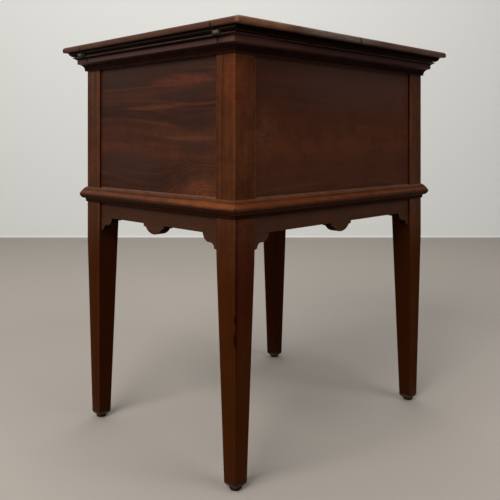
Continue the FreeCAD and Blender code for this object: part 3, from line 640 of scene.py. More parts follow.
@dataclass(frozen=True)
class Mahogany(Finish):
    """French-polished mahogany.

    Attributes:
        dark: Colour of the darkest ribbons.
        body: Colour between them.
        glow: Colour of the reddest ribbons.
        rubbed: Colour of the worn edges.
        grain: Which way the grain runs.
        bands: Ribbons per metre across the grain.
        drift: How far the lines wander, in metres.
        contrast: How strongly the ribbons differ.
        streaks: How strongly the fine streaks show.
        rings: Growth lines per metre across the grain.
        lined: How strongly the growth lines show.
        polish: Roughness of the clean polish.
        gloss: How strongly the polish reflects, where 0.5 is plain varnish.
        mottle: How blotchy the colour is.
        wear: How bare the edges are.
        dust: How dusty the ledges are.
        inward: How much painted shade darkens the faces that look in under the case, and dulls
            their polish.
        sawn: How much painted shade darkens the sawn edges of a shaped board, and dulls their
            polish.
        swirl: Where the figure swells, if it does.
        lines: Level lines of dust and wear, and of painted shade and painted highlights.
        patches: Patches of wear, knots and a dark seam, and patches of painted light and painted
            shade.
    """

    BLOTCHED = (0.42, 0.62)
    STREAKED = (0.3, 0.7)
    CLOUDED = (0.3, 0.7)
    SMEARED = (0.35, 0.75)
    RIBBON_MIDDLE = 0.5
    RIBBON_SPREAD = 0.22
    PORE_SHARE = 0.45
    SPECULAR = 0.01
    FULL_COAT = 2.0
    BUMP = 0.35
    RELIEF = 0.00012
    STREAK_RELIEF = 0.25
    CLOUD_ROUGH, SMEAR_ROUGH = 0.12, 0.05
    PORE_ROUGH, WORN_ROUGH, DUST_ROUGH = 0.15, 0.12, 0.5

    dark: Colour
    body: Colour
    glow: Colour
    rubbed: Colour = (0.15, 0.065, 0.03)
    grain: Grain = Grain.ACROSS
    bands: float = 18.0
    drift: float = 0.03
    contrast: float = 1.0
    streaks: float = 0.3
    rings: float = 60.0
    lined: float = 0.4
    polish: float = 0.36
    gloss: float = 0.25
    mottle: float = 0.3
    wear: float = 0.55
    dust: float = 0.1
    inward: float = 0.0
    sawn: float = 0.0
    swirl: Swirl | None = None
    lines: tuple[Line, ...] = ()
    patches: tuple[Patch, ...] = ()

    def turned(self, grain: Grain) -> "Mahogany":
        """Return the same finish with its grain another way."""
        return replace(self, grain=grain)

    def label(self) -> str:
        """Return the material's name, which tells the ways of the grain apart."""
        return f"{self.name}.{self.grain.name.lower()}"

    def wired(self, wire: Wiring) -> dict[str, Any]:
        """Wire the wood, then what lies on it, and return what feeds the shader."""
        source = wire.node("ShaderNodeTexCoord").outputs
        place, normal = source["Object"], source["Normal"]
        where = {"Vector": place, "Normal": normal}
        lined = self.grain.turn(wire, place)
        streaks, colour = self.figure(wire, lined)
        surface = Surface(wire, colour, self.gloss * self.FULL_COAT)
        handling = Handling().place(wire, Vector=place)
        surface.cover(wire.smooth(handling["Mottle"], self.BLOTCHED), self.mottle, self.dark)
        pores = Pores().place(wire, Vector=lined)["Pores"]
        surface.cover(pores, self.PORE_SHARE, self.dark)
        rubbed = WornArris().place(wire, Vector=place, Arris=wire.arris())["Rubbed"]
        surface.cover(rubbed, self.wear, self.rubbed)
        dust = SettledDust().place(wire, **where)["Dust"]
        surface.cover(dust, self.dust, DUST_COLOUR)
        # Painted shade on the faces that look in under the case.
        if self.inward:
            hidden = InwardFace().place(wire, **where)["Inward"]
            surface.cover(hidden, self.inward, SHADED_COLOUR, self.inward)
        # Painted shade on the sawn edges, which face neither out nor in.
        if self.sawn:
            edge = SawnEdge().place(wire, Normal=self.grain.turn(wire, normal, "NORMAL"))["Edge"]
            surface.cover(edge, self.sawn, SAWN_EDGE_SHADE, self.sawn)
        # Level lines and patches: dust, wear, knots and a dark seam, and painted shade and painted
        # highlights.
        for mark in (*self.lines, *self.patches):
            surface.cover(mark.mask(wire, where), mark.share, mark.colour, mark.dull)
        height = wire.math("SUBTRACT", wire.times(streaks, self.STREAK_RELIEF), pores)
        return {
            "Base Color": surface.colour,
            "Roughness": self.roughness(wire, handling, (pores, rubbed, dust)),
            "Specular IOR Level": self.SPECULAR,
            "Coat Weight": surface.shine,
            "Coat Roughness": self.polish,
            "Normal": wire.bump(self.BUMP, self.RELIEF, height),
        }

    def figure(self, wire: Wiring, lined: Socket) -> tuple[Socket, Socket]:
        """Wire the figure of the wood and the colour that it gives.

        Args:
            wire: The material's tree.
            lined: Place, with X along the grain.

        Returns:
            Fine streaks and colour.
        """
        values: dict[str, Any] = {"Bands": self.bands, "Drift": self.drift, "Rings": self.rings}
        if self.swirl:
            values |= {
                "Swirl_Centre": self.grain.turned(self.swirl.centre),
                "Swirl_Radius": self.swirl.radius,
                "Swirl_Lift": self.swirl.lift,
                "Swirl_Rings": self.swirl.rings,
            }
        ribbons, rings, streaks, swirl = Figure().place(wire, Vector=lined, **values)
        middle, spread = self.RIBBON_MIDDLE, self.RIBBON_SPREAD / self.contrast
        low = wire.smooth(ribbons, (middle - spread, middle))
        high = wire.smooth(ribbons, (middle, middle + spread))
        colour = wire.mix(high, wire.mix(low, self.dark, self.body), self.glow)
        shade = wire.smooth(streaks, self.STREAKED)
        colour = wire.mix(wire.times(shade, self.streaks), colour, self.glow)
        colour = wire.mix(wire.times(rings, self.lined), colour, self.glow)
        if self.swirl:
            lines = wire.math("MULTIPLY_ADD", rings, self.swirl.lined, self.swirl.even)
            colour = wire.mix(wire.times(swirl, lines), colour, self.swirl.tint)
        return streaks, colour

    def roughness(self, wire: Wiring, handling: Outputs, masks: Outputs) -> Socket:
        """Wire the roughness from rubbing, pores, wear and dust.

        Args:
            wire: The material's tree.
            handling: Clouds and smears of the polish.
            masks: Where the open pores, the worn edges and the dust are.

        Returns:
            The roughness.
        """
        clouds = wire.smooth(handling["Clouds"], self.CLOUDED, self.CLOUD_ROUGH)
        smears = wire.smooth(handling["Smears"], self.SMEARED, self.SMEAR_ROUGH)
        rough = wire.math("ADD", wire.math("ADD", clouds, smears), self.polish)
        shares = (self.PORE_ROUGH, self.WORN_ROUGH, self.DUST_ROUGH * self.dust)
        for mask, share in zip(masks, shares):
            rough = wire.math("ADD", rough, wire.times(mask, share), clamp=True)
        return rough


@dataclass(frozen=True)
class Metal(Finish):
    """Old cast or turned metal with tarnish in its hollows.

    Attributes:
        bright: Colour of the rubbed metal.
        tarnish: Colour of the tarnish.
        cover: How much of the metal is tarnished, from 0 to 1.
        polish: Roughness of the rubbed metal.
    """

    CLOSE = (6.0, 6.0, 6.0)
    SPOT_SCALE = 420.0
    SPOT_SHARE = 0.35
    WEAR_SCALE = 90.0
    TARNISHED = (1.02, 1.38)
    MORE_ROUGH = 0.3
    LESS_METAL = 0.45
    BUMP = 0.3
    RELIEF = 0.00008

    bright: Colour
    tarnish: Colour
    cover: float
    polish: float

    def label(self) -> str:
        """Return the material's name."""
        return f"{self.name}.metal"

    def wired(self, wire: Wiring) -> dict[str, Any]:
        """Wire rubbed metal with tarnish over it, and return what feeds the shader."""
        place = wire.node("ShaderNodeTexCoord").outputs["Object"]
        close = wire.vector("MULTIPLY", place, self.CLOSE)
        clouds = Handling().place(wire, Vector=close)["Clouds"]
        spots = wire.noise(place, self.SPOT_SCALE, 3.0, 0.7)
        rubbed = WornArris().place(
            wire, Vector=place, Arris=wire.arris(), Patches=self.WEAR_SCALE
        )["Rubbed"]
        uneven = wire.math("ADD", clouds, wire.times(spots, self.SPOT_SHARE))
        start, end = (edge - self.cover for edge in self.TARNISHED)
        dull = wire.times(wire.smooth(uneven, (start, end)), wire.rest(rubbed))
        return {
            "Base Color": wire.mix(dull, self.bright, self.tarnish),
            "Roughness": wire.math("ADD", wire.times(dull, self.MORE_ROUGH), self.polish),
            "Metallic": wire.rest(wire.times(dull, self.LESS_METAL)),
            "Normal": wire.bump(self.BUMP, self.RELIEF, spots),
        }


POST = Mahogany(
    "post_mahogany", "post_mahogany",
    dark=(0.032, 0.0088, 0.0034), body=(0.062, 0.0182, 0.0062), glow=(0.112, 0.034, 0.01),
    grain=Grain.UP, bands=45.0, drift=0.012, contrast=1.2, streaks=0.6, rings=150.0,
    # The inward faces get painted shade.
    polish=0.4, gloss=0.08, mottle=0.48, wear=0.22, inward=0.75,
    lines=(
        # Painted shade: the legs darker and duller towards the floor, under the case.
        Line(0.19, 0.28, (0.04, 0.0093, 0.001), 0.82, 0.0, 1.0),
        Line(0.009, 0.014, (0.022, 0.011, 0.005), 0.7, 0.3),
        Line(0.004, 0.01, (0.17, 0.095, 0.055), 0.55, 1.0),
    ),
    patches=(
        Patch((-0.284, -0.2215, 0.67), (0.05, 0.05, 0.06), (0.135, 0.03, 0.011), 0.5, 0.7),
        Patch((-0.262, -0.2215, 0.645), (0.016, 0.01, 0.085), (0.078, 0.019, 0.0095), 0.5, 0.4),
        Patch((-0.262, -0.2215, 0.485), (0.02, 0.01, 0.045), (0.028, 0.0085, 0.004), 0.55, 0.4),
        # Painted shade on the leg's front face under the waist.
        Patch((-0.262, -0.2215, 0.34), (0.034, 0.006, 0.125), (0.042, 0.0062, 0.003), 0.65, 0.25),
        Patch((-0.2803, -0.2215, 0.2), (0.006, 0.0045, 0.42), (0.018, 0.0032, 0.001), 0.85, 0.45),
        Patch((-0.283, -0.22, 0.282), (0.008, 0.006, 0.011), KNOT_COLOUR, 0.95, 0.1),
        Patch((-0.283, -0.2185, 0.25), (0.008, 0.0065, 0.017), KNOT_COLOUR, 0.95, 0.1),
    ),
)
SIDE_POST = replace(POST, name="side_post_mahogany", gloss=0.22, patches=())
PANEL = Mahogany(
    "panel_mahogany", "panel_mahogany",
    dark=(0.024, 0.0098, 0.0062), body=(0.042, 0.015, 0.0082), glow=(0.096, 0.025, 0.01),
    bands=15.0, drift=0.05, contrast=1.3, streaks=0.25, rings=55.0, lined=0.45,
    gloss=0.17, wear=0.3,
    lines=(Line(WAIST_TOP, 0.0022, (0.2, 0.12, 0.08), 0.8),),
)
PLAIN_PANEL = replace(
    PANEL, name="plain_mahogany", contrast=0.8, gloss=0.2, mottle=0.4,
    dark=(0.036, 0.0112, 0.0052), body=(0.057, 0.0172, 0.0074), glow=(0.094, 0.025, 0.0092),
    patches=(
        Patch.front(-0.205, 0.59, 0.045, 0.05, (0.11, 0.042, 0.017), 0.4),
        Patch.front(-0.2335, 0.6, 0.0022, 9.0, (0.15, 0.08, 0.042), 0.4, 0.9),
        Patch.front(-0.223, 0.5805, 0.016, 0.0013, (0.15, 0.09, 0.055), 0.5, 0.5),
        Patch.front(-0.226, 0.585, 0.01, 0.001, (0.15, 0.09, 0.055), 0.4, 0.5),
        # Painted light on the top of the front panel, under the cornice.
        Patch.front(0.07, 0.69, 0.36, 0.085, (0.066, 0.031, 0.023), 0.6, 0.1),
    ),
)
SWIRLED_PANEL = replace(
    PANEL, name="swirled_mahogany", grain=Grain.BACK, contrast=1.35, lined=0.6,
    swirl=Swirl((-0.28, -0.146, 0.478), 0.044, 0.042),
    patches=(
        Patch.left(-0.085, 0.677, 0.12, 0.014, (0.112, 0.027, 0.013), 0.6, 0.5),
        Patch.left(-0.072, 0.65, 0.11, 0.012, (0.02, 0.0105, 0.008), 0.6, 0.5),
        Patch.left(0.1, 0.685, 0.09, 0.016, (0.03, 0.016, 0.012), 0.5, 0.4),
        Patch.left(-0.005, 0.632, 0.12, 0.006, (0.112, 0.032, 0.015), 0.55, 0.4),
        Patch.left(-0.12, 0.597, 0.09, 0.013, (0.018, 0.01, 0.0075), 0.65, 0.4),
        Patch.left(-0.105, 0.575, 0.11, 0.006, (0.1, 0.034, 0.021), 0.5, 0.3),
        Patch.left(-0.13, 0.555, 0.08, 0.015, (0.02, 0.011, 0.0085), 0.6, 0.4),
        Patch.left(0.06, 0.572, 0.13, 0.01, (0.024, 0.0125, 0.0095), 0.6, 0.4),
        Patch.left(0.085, 0.525, 0.14, 0.05, (0.04, 0.017, 0.0105), 0.75, 0.2),
    ),
)
APRON = Mahogany(
    "apron_mahogany", "apron_mahogany",
    dark=(0.024, 0.008, 0.003), body=(0.044, 0.0145, 0.0055), glow=(0.068, 0.022, 0.0085),
    # The sawn edges get painted shade.
    bands=30.0, drift=0.02, contrast=0.9, polish=0.42, gloss=0.2, wear=0.15, sawn=0.9,
)
WAIST = Mahogany(
    "waist_mahogany", "moulding_mahogany",
    dark=(0.022, 0.0056, 0.0015), body=(0.044, 0.0115, 0.0028), glow=(0.095, 0.025, 0.006),
    bands=60.0, drift=0.01, streaks=0.5, polish=0.3, gloss=0.12, mottle=0.6,
    wear=0.5, dust=0.25,
    lines=(
        Line(WAIST_TOP - 0.001, 0.003, (0.15, 0.06, 0.028), 0.45, 0.6),
        # A painted highlight along the nose.
        Line(WAIST_LOW + 0.0216, 0.0042, (0.145, 0.04, 0.013), 0.65, 0.55),
        # Painted shade under the nose, with a thin lighter line low in it.
        Line(WAIST_LOW + 0.0065, 0.0108, (0.02, 0.0062, 0.0026), 0.9, 0.1, 0.95),
        Line(WAIST_LOW + 0.0084, 0.0018, (0.095, 0.03, 0.013), 0.6, 0.4),
    ),
    patches=(
        # A painted highlight on the nose near the front corner.
        Patch(
            (-0.295, -0.16, WAIST_LOW + 0.0215), (0.04, 0.13, 0.008),
            (0.2, 0.056, 0.014), 0.5, 0.6,
        ),
        # Painted shade: the nose darker on the front, near the corner.
        Patch(
            (-0.2, -0.235, WAIST_LOW + 0.0225), (0.15, 0.03, 0.01),
            (0.088, 0.02, 0.005), 0.5, 0.5,
        ),
        Patch(
            (-0.2958, -0.2333, WAIST_LOW + 0.015), (0.0036, 0.0036, 0.03),
            (0.006, 0.0025, 0.0015), 0.95, 0.2,
        ),
    ),
)
CORNICE = Mahogany(
    "cornice_mahogany", "moulding_mahogany",
    dark=(0.02, 0.0072, 0.0055), body=(0.038, 0.0125, 0.0095), glow=(0.06, 0.019, 0.013),
    rubbed=(0.11, 0.048, 0.026), bands=60.0, drift=0.01, polish=0.34, gloss=0.22,
    wear=0.4, dust=0.03,
    lines=(
        # A painted highlight on the fillet.
        Line(CORNICE_LOW + 0.0187, 0.0055, (0.066, 0.027, 0.0205), 0.7, 0.3),
        # Painted shade in the cove, and near the tip under the top's overhang.
        Line(CORNICE_LOW + 0.0062, 0.0094, (0.0075, 0.002, 0.0014), 0.85, 0.1, 1.0),
        Line(CORNICE_LOW + 0.0252, 0.0037, (0.0075, 0.0018, 0.0012), 0.95, 0.05, 1.0),
        Line(CORNICE_TOP - 0.0022, 0.0019, DUST_COLOUR, 0.3, 0.7),
    ),
    patches=(
        # A painted highlight on the front fillet near the corner.
        Patch(
            (-0.26, -0.245, CORNICE_LOW + 0.0187), (0.18, 0.06, 0.0085),
            (0.105, 0.044, 0.033), 0.8, 0.3,
        ),
    ),
)
TOP = Mahogany(
    "top_mahogany", "top_mahogany",
    dark=(0.034, 0.0135, 0.0075), body=(0.066, 0.025, 0.014), glow=(0.108, 0.043, 0.023),
    bands=16.0, drift=0.05, polish=0.34, gloss=0.17, wear=0.8, dust=0.05,
    patches=(
        # The front nose lighter and greyer: partly worn polish, partly a painted sheen.
        Patch((-0.262, -0.262, 0.757), (0.11, 0.012, 0.03), (0.215, 0.102, 0.056), 0.75, 0.35),
        Patch((-0.06, -0.262, 0.757), (0.15, 0.012, 0.03), (0.165, 0.125, 0.102), 0.8, 0.4),
        Patch((0.16, -0.262, 0.757), (0.22, 0.014, 0.03), (0.1, 0.056, 0.045), 0.6, 0.3),
        # A dark seam between the leaves.
        Patch((0.0, 0.0, 0.757), (0.0027, 9.0, 9.0), DARK_SEAM_AND_NOTCH_SHADE, 0.98, 0.0),
        # Painted shade in the notches where the hinge plates are let into the top's edges.
        *(
            Patch((x, y, 0.7562), (0.006, 0.0022, 0.007), DARK_SEAM_AND_NOTCH_SHADE, 0.95, 0.0)
            for x in (-0.317, 0.317) for y in (-0.1975, 0.1975)
        ),
    ),
)
JOINT_SHADOW = Line(CORNICE_TOP + 0.0005, 0.0022, (0.001, 0.0006, 0.0005), 0.9, 0.0, 1.0)
RAIL = Mahogany(
    "rail_mahogany", "rail_mahogany",
    dark=(0.02, 0.0078, 0.0045), body=(0.04, 0.015, 0.008), glow=(0.07, 0.023, 0.011),
    rubbed=(0.05, 0.024, 0.014), bands=50.0, drift=0.01, polish=0.45, gloss=0.04, wear=0.2,
    lines=(
        # Painted shade over the outer faces, under the top's overhang.
        Line(CORNICE_TOP + 0.0045, 0.016, (0.0055, 0.0028, 0.0019), 0.97, 0.0, 1.0),
        # A painted highlight along the lip.
        Line(CORNICE_TOP + 0.0046, 0.0016, (0.036, 0.03, 0.024), 0.6, 0.4),
        JOINT_SHADOW,
    ),
)
FRONT_RAIL = replace(
    RAIL, name="front_rail_mahogany",
    lines=(
        # Deeper painted shade on the front, under the top's overhang.
        Line(CORNICE_TOP + 0.0045, 0.016, (0.0024, 0.0012, 0.001), 0.97, 0.0, 1.0),
        JOINT_SHADOW,
    ),
)
LINING = Mahogany(
    "lining_mahogany", "lining_mahogany",
    dark=(0.03, 0.0115, 0.006), body=(0.058, 0.0215, 0.011), glow=(0.095, 0.032, 0.015),
    grain=Grain.BACK, bands=20.0, polish=0.45, gloss=0.1,
)
TRAY = Mahogany(
    "tray_mahogany", "tray_mahogany",
    dark=(0.035, 0.013, 0.0065), body=(0.065, 0.024, 0.0115), glow=(0.1, 0.036, 0.016),
    bands=28.0, polish=0.46, dust=0.15,
)
PINE = Mahogany(
    "bottom_pine", "bottom_pine",
    dark=(0.075, 0.038, 0.018), body=(0.13, 0.07, 0.033), glow=(0.19, 0.105, 0.05),
    rubbed=(0.26, 0.16, 0.085), bands=24.0, polish=0.62, dust=0.25,
)
BRASS = Metal("aged_brass", "brass", (0.2, 0.18, 0.155), (0.085, 0.074, 0.06), 0.6, 0.55)
DARK_BRASS = Metal("dark_brass", "brass", (0.05, 0.036, 0.024), (0.008, 0.006, 0.005), 0.9, 0.6)
BRIGHT_BRASS = Metal("lift_brass", "brass", (0.55, 0.41, 0.19), (0.3, 0.215, 0.105), 0.18, 0.28)
STEEL = Metal("glide_steel", "glide_steel", (0.085, 0.078, 0.07), (0.018, 0.014, 0.011), 0.8, 0.55)

# ---- pieces ----


@dataclass(frozen=True)
class Easing:
    """How the sharp edges of a piece are softened.

    Attributes:
        width: How far the softening reaches on each side, in metres.
        segments: Faces round the edge.
        sharpest: Edges that turn by less than this stay, in degrees.
    """

    MARK = "arris"
    MERGE_DISTANCE = 2e-6
    FLAT_ANGLE = math.radians(0.4)

    width: float
    segments: int = 2
    sharpest: float = 30.0

    def shape(self, source: bpy.types.Mesh) -> Shape:
        """Merge the loose triangles of a solid and round its sharp edges.

        Edges that are too short to round are only marked as sharp.

        Args:
            source: The solid's own mesh, which stays as it is.

        Returns:
            The softened solid, with the rounded faces marked.
        """
        work = bmesh.new()
        work.from_mesh(source)
        bmesh.ops.remove_doubles(work, verts=work.verts, dist=self.MERGE_DISTANCE)
        bmesh.ops.dissolve_limit(
            work, angle_limit=self.FLAT_ANGLE, verts=work.verts, edges=work.edges,
            use_dissolve_boundaries=False,
        )
        mark = work.faces.layers.float.new(self.MARK)
        limit = math.radians(self.sharpest)
        steep = [edge for edge in work.edges if edge.is_manifold and edge.calc_face_angle() > limit]
        for edge in steep:
            edge.smooth = edge.calc_length() > self.width * 2
        sharp = [edge for edge in steep if edge.smooth]
        for face in self.rounded(work, sharp):
            face[mark] = 1.0
        bmesh.ops.dissolve_degenerate(work, dist=self.MERGE_DISTANCE, edges=work.edges)
        return work

    def rounded(self, work: Shape, edges: list[bmesh.types.BMEdge]) -> list[bmesh.types.BMFace]:
        """Round some edges of a mesh and return the new faces."""
        return bmesh.ops.bevel(
            work, geom=edges, offset=self.width, offset_type="OFFSET", segments=self.segments,
            profile=0.5, affect="EDGES", clamp_overlap=True, material=-1, loop_slide=True,
        )["faces"]


POST_EDGES = Easing(0.0009, 3)
PANEL_EDGES = Easing(0.0003)
APRON_EDGES = Easing(0.0006)
MOULDING_EDGES = Easing(0.0004)
TRAY_EDGES = Easing(0.0005)
PLATE_EDGES = Easing(0.0002)
PIN_EDGES = Easing(0.0005, 3)
GLIDE_RIM = Easing(0.0018, 6)


def finished(
    name: str, work: Shape, finish: Finish, body: str, stands_for: Iterable[str] = ()
) -> Thing:
    """Turn a bmesh into a finished piece.

    Args:
        name: Name of the piece.
        work: Its mesh, which is freed.
        finish: Its finish.
        body: The body that it rides on.
        stands_for: The solids that it is shown for.

    Returns:
        The piece.
    """
    for face in work.faces:
        face.smooth = True
        face.material_index = 0
    piece = shown(name, work, [finish.material()])
    shading = piece.modifiers.new("Weighted normals", "WEIGHTED_NORMAL")
    shading.weight = 100
    shading.keep_sharp = True
    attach(piece, body)
    if stands_for:
        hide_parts(*stands_for)
    log.info("%s in %s on %s", name, finish.name, body)
    return piece


def shown(name: str, work: Shape, materials: Iterable[bpy.types.Material]) -> Thing:
    """Put a bmesh into the scene under a name, with its materials, and free it."""
    mesh = bpy.data.meshes.new(name)
    work.to_mesh(mesh)
    work.free()
    for material in materials:
        mesh.materials.append(material)
    return linked(name, mesh)


def linked(name: str, data: Any) -> Thing:
    """Put a mesh, lamp or camera into the scene."""
    thing = bpy.data.objects.new(name, data)
    bpy.context.scene.collection.objects.link(thing)
    return thing


def dress(node: str, finish: Finish, easing: Easing) -> Thing:
    """Show a solid with eased edges and its finish.

    Args:
        node: The solid's node.
        finish: Its finish.
        easing: How its edges are softened.

    Returns:
        The piece that is shown for it.
    """
    solid = frame["nodes"][node]
    return finished(f"{node}.eased", easing.shape(solid.data), finish, solid["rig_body"], [node])


class SubAssembly:
    """A part of the cabinet that builds its own pieces."""

    def build(self) -> None:
        """Make every piece."""
        raise NotImplementedError


class Carcase(SubAssembly):
    """Legs, panels, aprons, brackets, mouldings, bottom board and glides."""

    GLIDE_SIDES = 40

    def build(self) -> None:
        """Make the legs, then what lies along each side, then the bottom."""
        for corner in CORNERS:
            dress(f"leg_{corner}", POST if corner == "front_left" else SIDE_POST, POST_EDGES)
            self.glide(f"glide_{corner}")
        for side in SIDES:
            panel = {"left": SWIRLED_PANEL, "front": PLAIN_PANEL}.get(side, PANEL)
            for node, finish, easing in (
                ("panel", panel, PANEL_EDGES),
                ("apron", APRON, APRON_EDGES),
                ("corner_brackets", APRON, APRON_EDGES),
                ("waist_moulding", WAIST, MOULDING_EDGES),
                ("cornice", CORNICE, MOULDING_EDGES),
            ):
                dress(f"{node}_{side}", finish.turned(Grain.along(side)), easing)
        dress("bottom_board", PINE, PANEL_EDGES)

    def glide(self, node: str) -> Thing:
        """Make a steel glide with a rounded rim, and show it for its solid."""
        low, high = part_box(node)
        centre, radius = (low + high) / 2, (high.x - low.x) / 2
        work = bmesh.new()
        bmesh.ops.create_cone(
            work, cap_ends=True, segments=self.GLIDE_SIDES, radius1=radius, radius2=radius,
            depth=high.z - low.z, matrix=Matrix.Translation(centre),
        )
        rim = [edge for edge in work.edges if all(end.co.z < centre.z for end in edge.verts)]
        GLIDE_RIM.rounded(work, rim)
        return finished(f"{node}.domed", work, STEEL, "carcase", [node])


@dataclass
class Leaf(SubAssembly):
    """One leaf of the top, which folds out to its side."""

    side: str

    def build(self) -> None:
        """Make the top board, its rails and lining, and its hinge plates."""
        side = self.side
        for node, finish in (
            (f"top_board_{side}", TOP.turned(Grain.BACK)),
            (f"lid_rail_{side}_hinge", RAIL.turned(Grain.BACK)),
            (f"lid_rail_{side}_front", FRONT_RAIL),
            (f"lid_rail_{side}_back", RAIL),
            (f"meeting_rail_{side}", RAIL.turned(Grain.BACK)),
            (f"leaf_lining_{side}", LINING),
        ):
            dress(node, finish, MOULDING_EDGES)
        dress(f"hinge_leaf_plates_{side}", DARK_BRASS, PLATE_EDGES)


class Hinges(SubAssembly):
    """The fixed halves of the hinges and their pins."""

    def build(self) -> None:
        """Make the case plates and the pins."""
        dress("hinge_case_plates", DARK_BRASS, PLATE_EDGES)
        dress("hinge_pins", BRASS, PIN_EDGES)


class RisingTray(SubAssembly):
    """Floor, walls, dividers and glass racks of the tray."""

    def build(self) -> None:
        """Make the tray from the floor up."""
        dress("tray_floor", TRAY, TRAY_EDGES)
        for side in SIDES:
            dress(f"tray_wall_{side}", TRAY.turned(Grain.along(side)), TRAY_EDGES)
        for side in ("left", "right"):
            for node in ("bay_divider", "glass_rack"):
                dress(f"{node}_{side}", TRAY.turned(Grain.BACK), TRAY_EDGES)
        dress("centre_divider", TRAY.turned(Grain.BACK), TRAY_EDGES)
        dress("cross_dividers", TRAY, TRAY_EDGES)


class Lifts(SubAssembly):
    """The telescopic brass lifts, and the screws that hold the tray to them."""

    HEAD_RADIUS, TIP_RADIUS = 0.003, 0.0012
    HEAD_SIDES = 32
    SUNK, PROUD = 0.0022, 0.0002
    SLOT_WIDTH, SLOT_DEPTH = 0.0009, 0.00063
    SLOT_FLOOR_SHARE = 0.85
    HALF_PITCH = 0.0048
    BRACKET_INSET = 0.0099
    FIRST_TURN, TURN_STEP = 0.4, 1.9

    def build(self) -> None:
        """Make the tubes, rods and brackets, then the screws."""
        for node in ("lift_tubes", "lift_rods", "lift_brackets"):
            dress(node, BRIGHT_BRASS, TRAY_EDGES)
        self.screws()

    def screws(self) -> Thing:
        """Put a pair of screws behind each bracket, seen from inside the tray."""
        low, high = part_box("lift_brackets")
        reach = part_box("tray_wall_right")[0].x - self.PROUD
        work = bmesh.new()
        turn = self.FIRST_TURN
        for side in (-1, 1):
            facing = Vector((-side, 0.0, 0.0)).to_track_quat("Z", "Y").to_matrix().to_4x4()
            for middle in (low.y + self.BRACKET_INSET, high.y - self.BRACKET_INSET):
                for step in (-self.HALF_PITCH, self.HALF_PITCH):
                    turn += self.TURN_STEP
                    spot = Matrix.Translation((side * reach, middle + step, (low.z + high.z) / 2))
                    self.screw(work, spot @ facing @ Matrix.Rotation(turn, 4, "Z"))
        return finished("bracket_screws", work, BRIGHT_BRASS, "tray")

    def screw(self, work: Shape, place: Matrix) -> None:
        """Add a countersunk head with a slot across it.

        Args:
            work: The mesh that it is added to.
            place: Where it goes, with Z out of the wood.
        """
        before = set(work.verts)
        made = bmesh.ops.create_cone(
            work, cap_ends=True, segments=self.HEAD_SIDES, radius1=self.TIP_RADIUS,
            radius2=self.HEAD_RADIUS, depth=self.SUNK,
            matrix=Matrix.Translation((0.0, 0.0, -self.SUNK / 2)),
        )["verts"]
        around = {face for vertex in made for face in vertex.link_faces}
        faces = [max(around, key=lambda face: min(corner.co.z for corner in face.verts))]
        for edge in (-self.SLOT_WIDTH / 2, self.SLOT_WIDTH / 2):
            cut = [item for face in faces for item in (face, *face.edges, *face.verts)]
            split = bmesh.ops.bisect_plane(
                work, geom=list(dict.fromkeys(cut)), plane_co=(0.0, edge, 0.0),
                plane_no=(0.0, 1.0, 0.0),
            )["geom"]
            faces = [item for item in split if isinstance(item, bmesh.types.BMFace)]
        strip = min(faces, key=lambda face: abs(face.calc_center_median().y))
        grown = bmesh.ops.extrude_face_region(work, geom=[strip])["geom"]
        bmesh.ops.delete(work, geom=[strip], context="FACES_ONLY")
        floor = [item for item in grown if isinstance(item, bmesh.types.BMVert)]
        bmesh.ops.scale(work, vec=(self.SLOT_FLOOR_SHARE, 1.0, 1.0), verts=floor)
        bmesh.ops.translate(work, vec=(0.0, 0.0, -self.SLOT_DEPTH), verts=floor)
        added = [vertex for vertex in work.verts if vertex not in before]
        bmesh.ops.transform(work, matrix=place, verts=added)


# ---- studio ----


@dataclass(frozen=True)
class Softbox:
    """A large soft lamp, with its width and height in metres and its power in watts."""

    name: str
    place: Point
    size: tuple[float, float]
    power: float
    tint: Colour = (1.0, 1.0, 1.0)

    def build(self, target: Point) -> Thing:
        """Hang the lamp and point it at the cabinet."""
        data = bpy.data.lights.new(self.name, "AREA")
        data.shape = "RECTANGLE"
        data.size, data.size_y = self.size
        data.energy = self.power
        data.color = self.tint
        lamp = linked(self.name, data)
        lamp.location = self.place
        towards = Vector(target) - Vector(self.place)
        lamp.rotation_euler = towards.to_track_quat("-Z", "Y").to_euler()
        return lamp


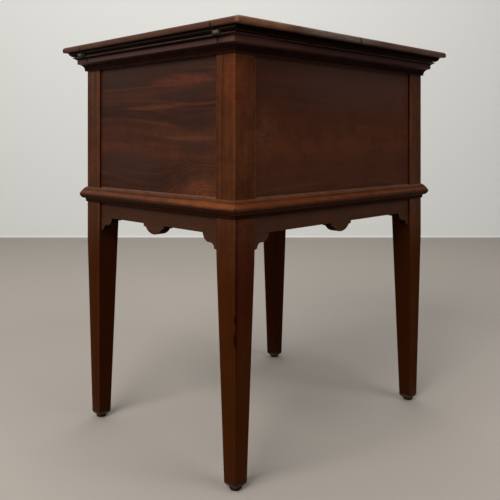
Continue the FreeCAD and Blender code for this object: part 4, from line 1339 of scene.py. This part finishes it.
class Studio(SubAssembly):
    """Floor, backdrop, lamps and camera."""

    EYE = (-1.0096, -0.9809, 0.5736)
    HEADING = math.radians(-45.0)
    LENS, SENSOR = 47.3, 36.0
    SHIFT = -0.2221
    WALL_DISTANCE = 3.72
    REACH = 9.0
    COVE_RADIUS = 0.03
    COVE_STEPS = 10
    FLOOR_TINT = (0.315, 0.282, 0.248)
    WALL_TINT = (0.755, 0.757, 0.735)
    MATT = 0.8
    TARGET = (0.0, 0.0, 0.5)
    ROOM_TINT = (0.85, 0.85, 0.85)
    ROOM_LIGHT = 0.05
    SOFTBOXES = (
        Softbox("Key", (-2.6, -0.5, 2.7), (2.2, 1.8), 125.0, (1.0, 0.98, 0.95)),
        Softbox("Fill", (0.4, -2.4, 2.8), (1.6, 1.6), 44.0, (0.97, 0.98, 1.0)),
        Softbox("Side", (-1.6, 2.3, 1.7), (2.4, 1.6), 6.0),
        Softbox("Ceiling", (0.3, 0.6, 3.4), (3.0, 3.0), 60.0),
    )

    def build(self) -> None:
        """Set the floor, the light and the camera."""
        self.backdrop()
        self.light()
        self.camera()
        bpy.context.scene.view_settings.view_transform = "Standard"

    def profile(self) -> Iterable[tuple[float, float]]:
        """Give distance and height of the backdrop, from its near edge up to its top."""
        yield -self.REACH, 0.0
        for step in range(self.COVE_STEPS + 1):
            turn = math.pi / 2 * step / self.COVE_STEPS
            back = self.COVE_RADIUS * (1.0 - math.sin(turn))
            yield self.WALL_DISTANCE - back, self.COVE_RADIUS * (1.0 - math.cos(turn))
        yield self.WALL_DISTANCE, self.REACH

    def backdrop(self) -> None:
        """Make a floor that turns up into a wall behind the cabinet."""
        work = bmesh.new()
        rows = [
            [work.verts.new((side * self.REACH, y, z)) for side in (-1, 1)]
            for y, z in self.profile()
        ]
        for near, far in pairwise(rows):
            face = work.faces.new((*near, *reversed(far)))
            face.normal_update()
            face.smooth = True
            face.material_index = int(face.normal.z < 0.5)
        turn = Matrix.Rotation(self.HEADING, 4, "Z")
        start = Matrix.Translation((self.EYE[0], self.EYE[1], 0.0))
        bmesh.ops.transform(work, matrix=start @ turn, verts=work.verts)
        tints = {"studio_floor": self.FLOOR_TINT, "studio_wall": self.WALL_TINT}
        sheet = shown("Backdrop", work, [self.plain(*item) for item in tints.items()])

    def plain(self, name: str, tint: Colour) -> bpy.types.Material:
        """Return a matt material for the floor or the wall."""
        made = bpy.data.materials.new(name)
        made.use_nodes = True
        shader = made.node_tree.nodes["Principled BSDF"]
        shader.inputs["Base Color"].default_value = opaque(tint)
        shader.inputs["Roughness"].default_value = self.MATT
        return made

    def light(self) -> None:
        """Light the room softly, with a dim horizon and soft lamps above."""
        for softbox in self.SOFTBOXES:
            softbox.build(self.TARGET)
        world = bpy.data.worlds.new("Room")
        world.use_nodes = True
        room = world.node_tree.nodes["Background"].inputs
        room["Color"].default_value = opaque(self.ROOM_TINT)
        room["Strength"].default_value = self.ROOM_LIGHT
        bpy.context.scene.world = world

    def camera(self) -> None:
        """Set the camera."""
        data = bpy.data.cameras.new("Camera")
        data.lens = self.LENS
        data.sensor_width = self.SENSOR
        data.shift_y = self.SHIFT
        camera = linked("Camera", data)
        camera.location = self.EYE
        camera.rotation_euler = (math.pi / 2, 0.0, self.HEADING)
        bpy.context.scene.camera = camera


def main() -> None:
    """Build the cabinet and the studio round it."""
    logging.basicConfig(level=logging.INFO, format="%(name)s: %(message)s")
    parts: list[SubAssembly] = [
        Studio(), Carcase(), Leaf("left"), Leaf("right"), Hinges(), RisingTray(), Lifts()
    ]
    for part in parts:
        log.info("building %s", type(part).__name__)
        part.build()


if __name__ == "__main__":
    main()
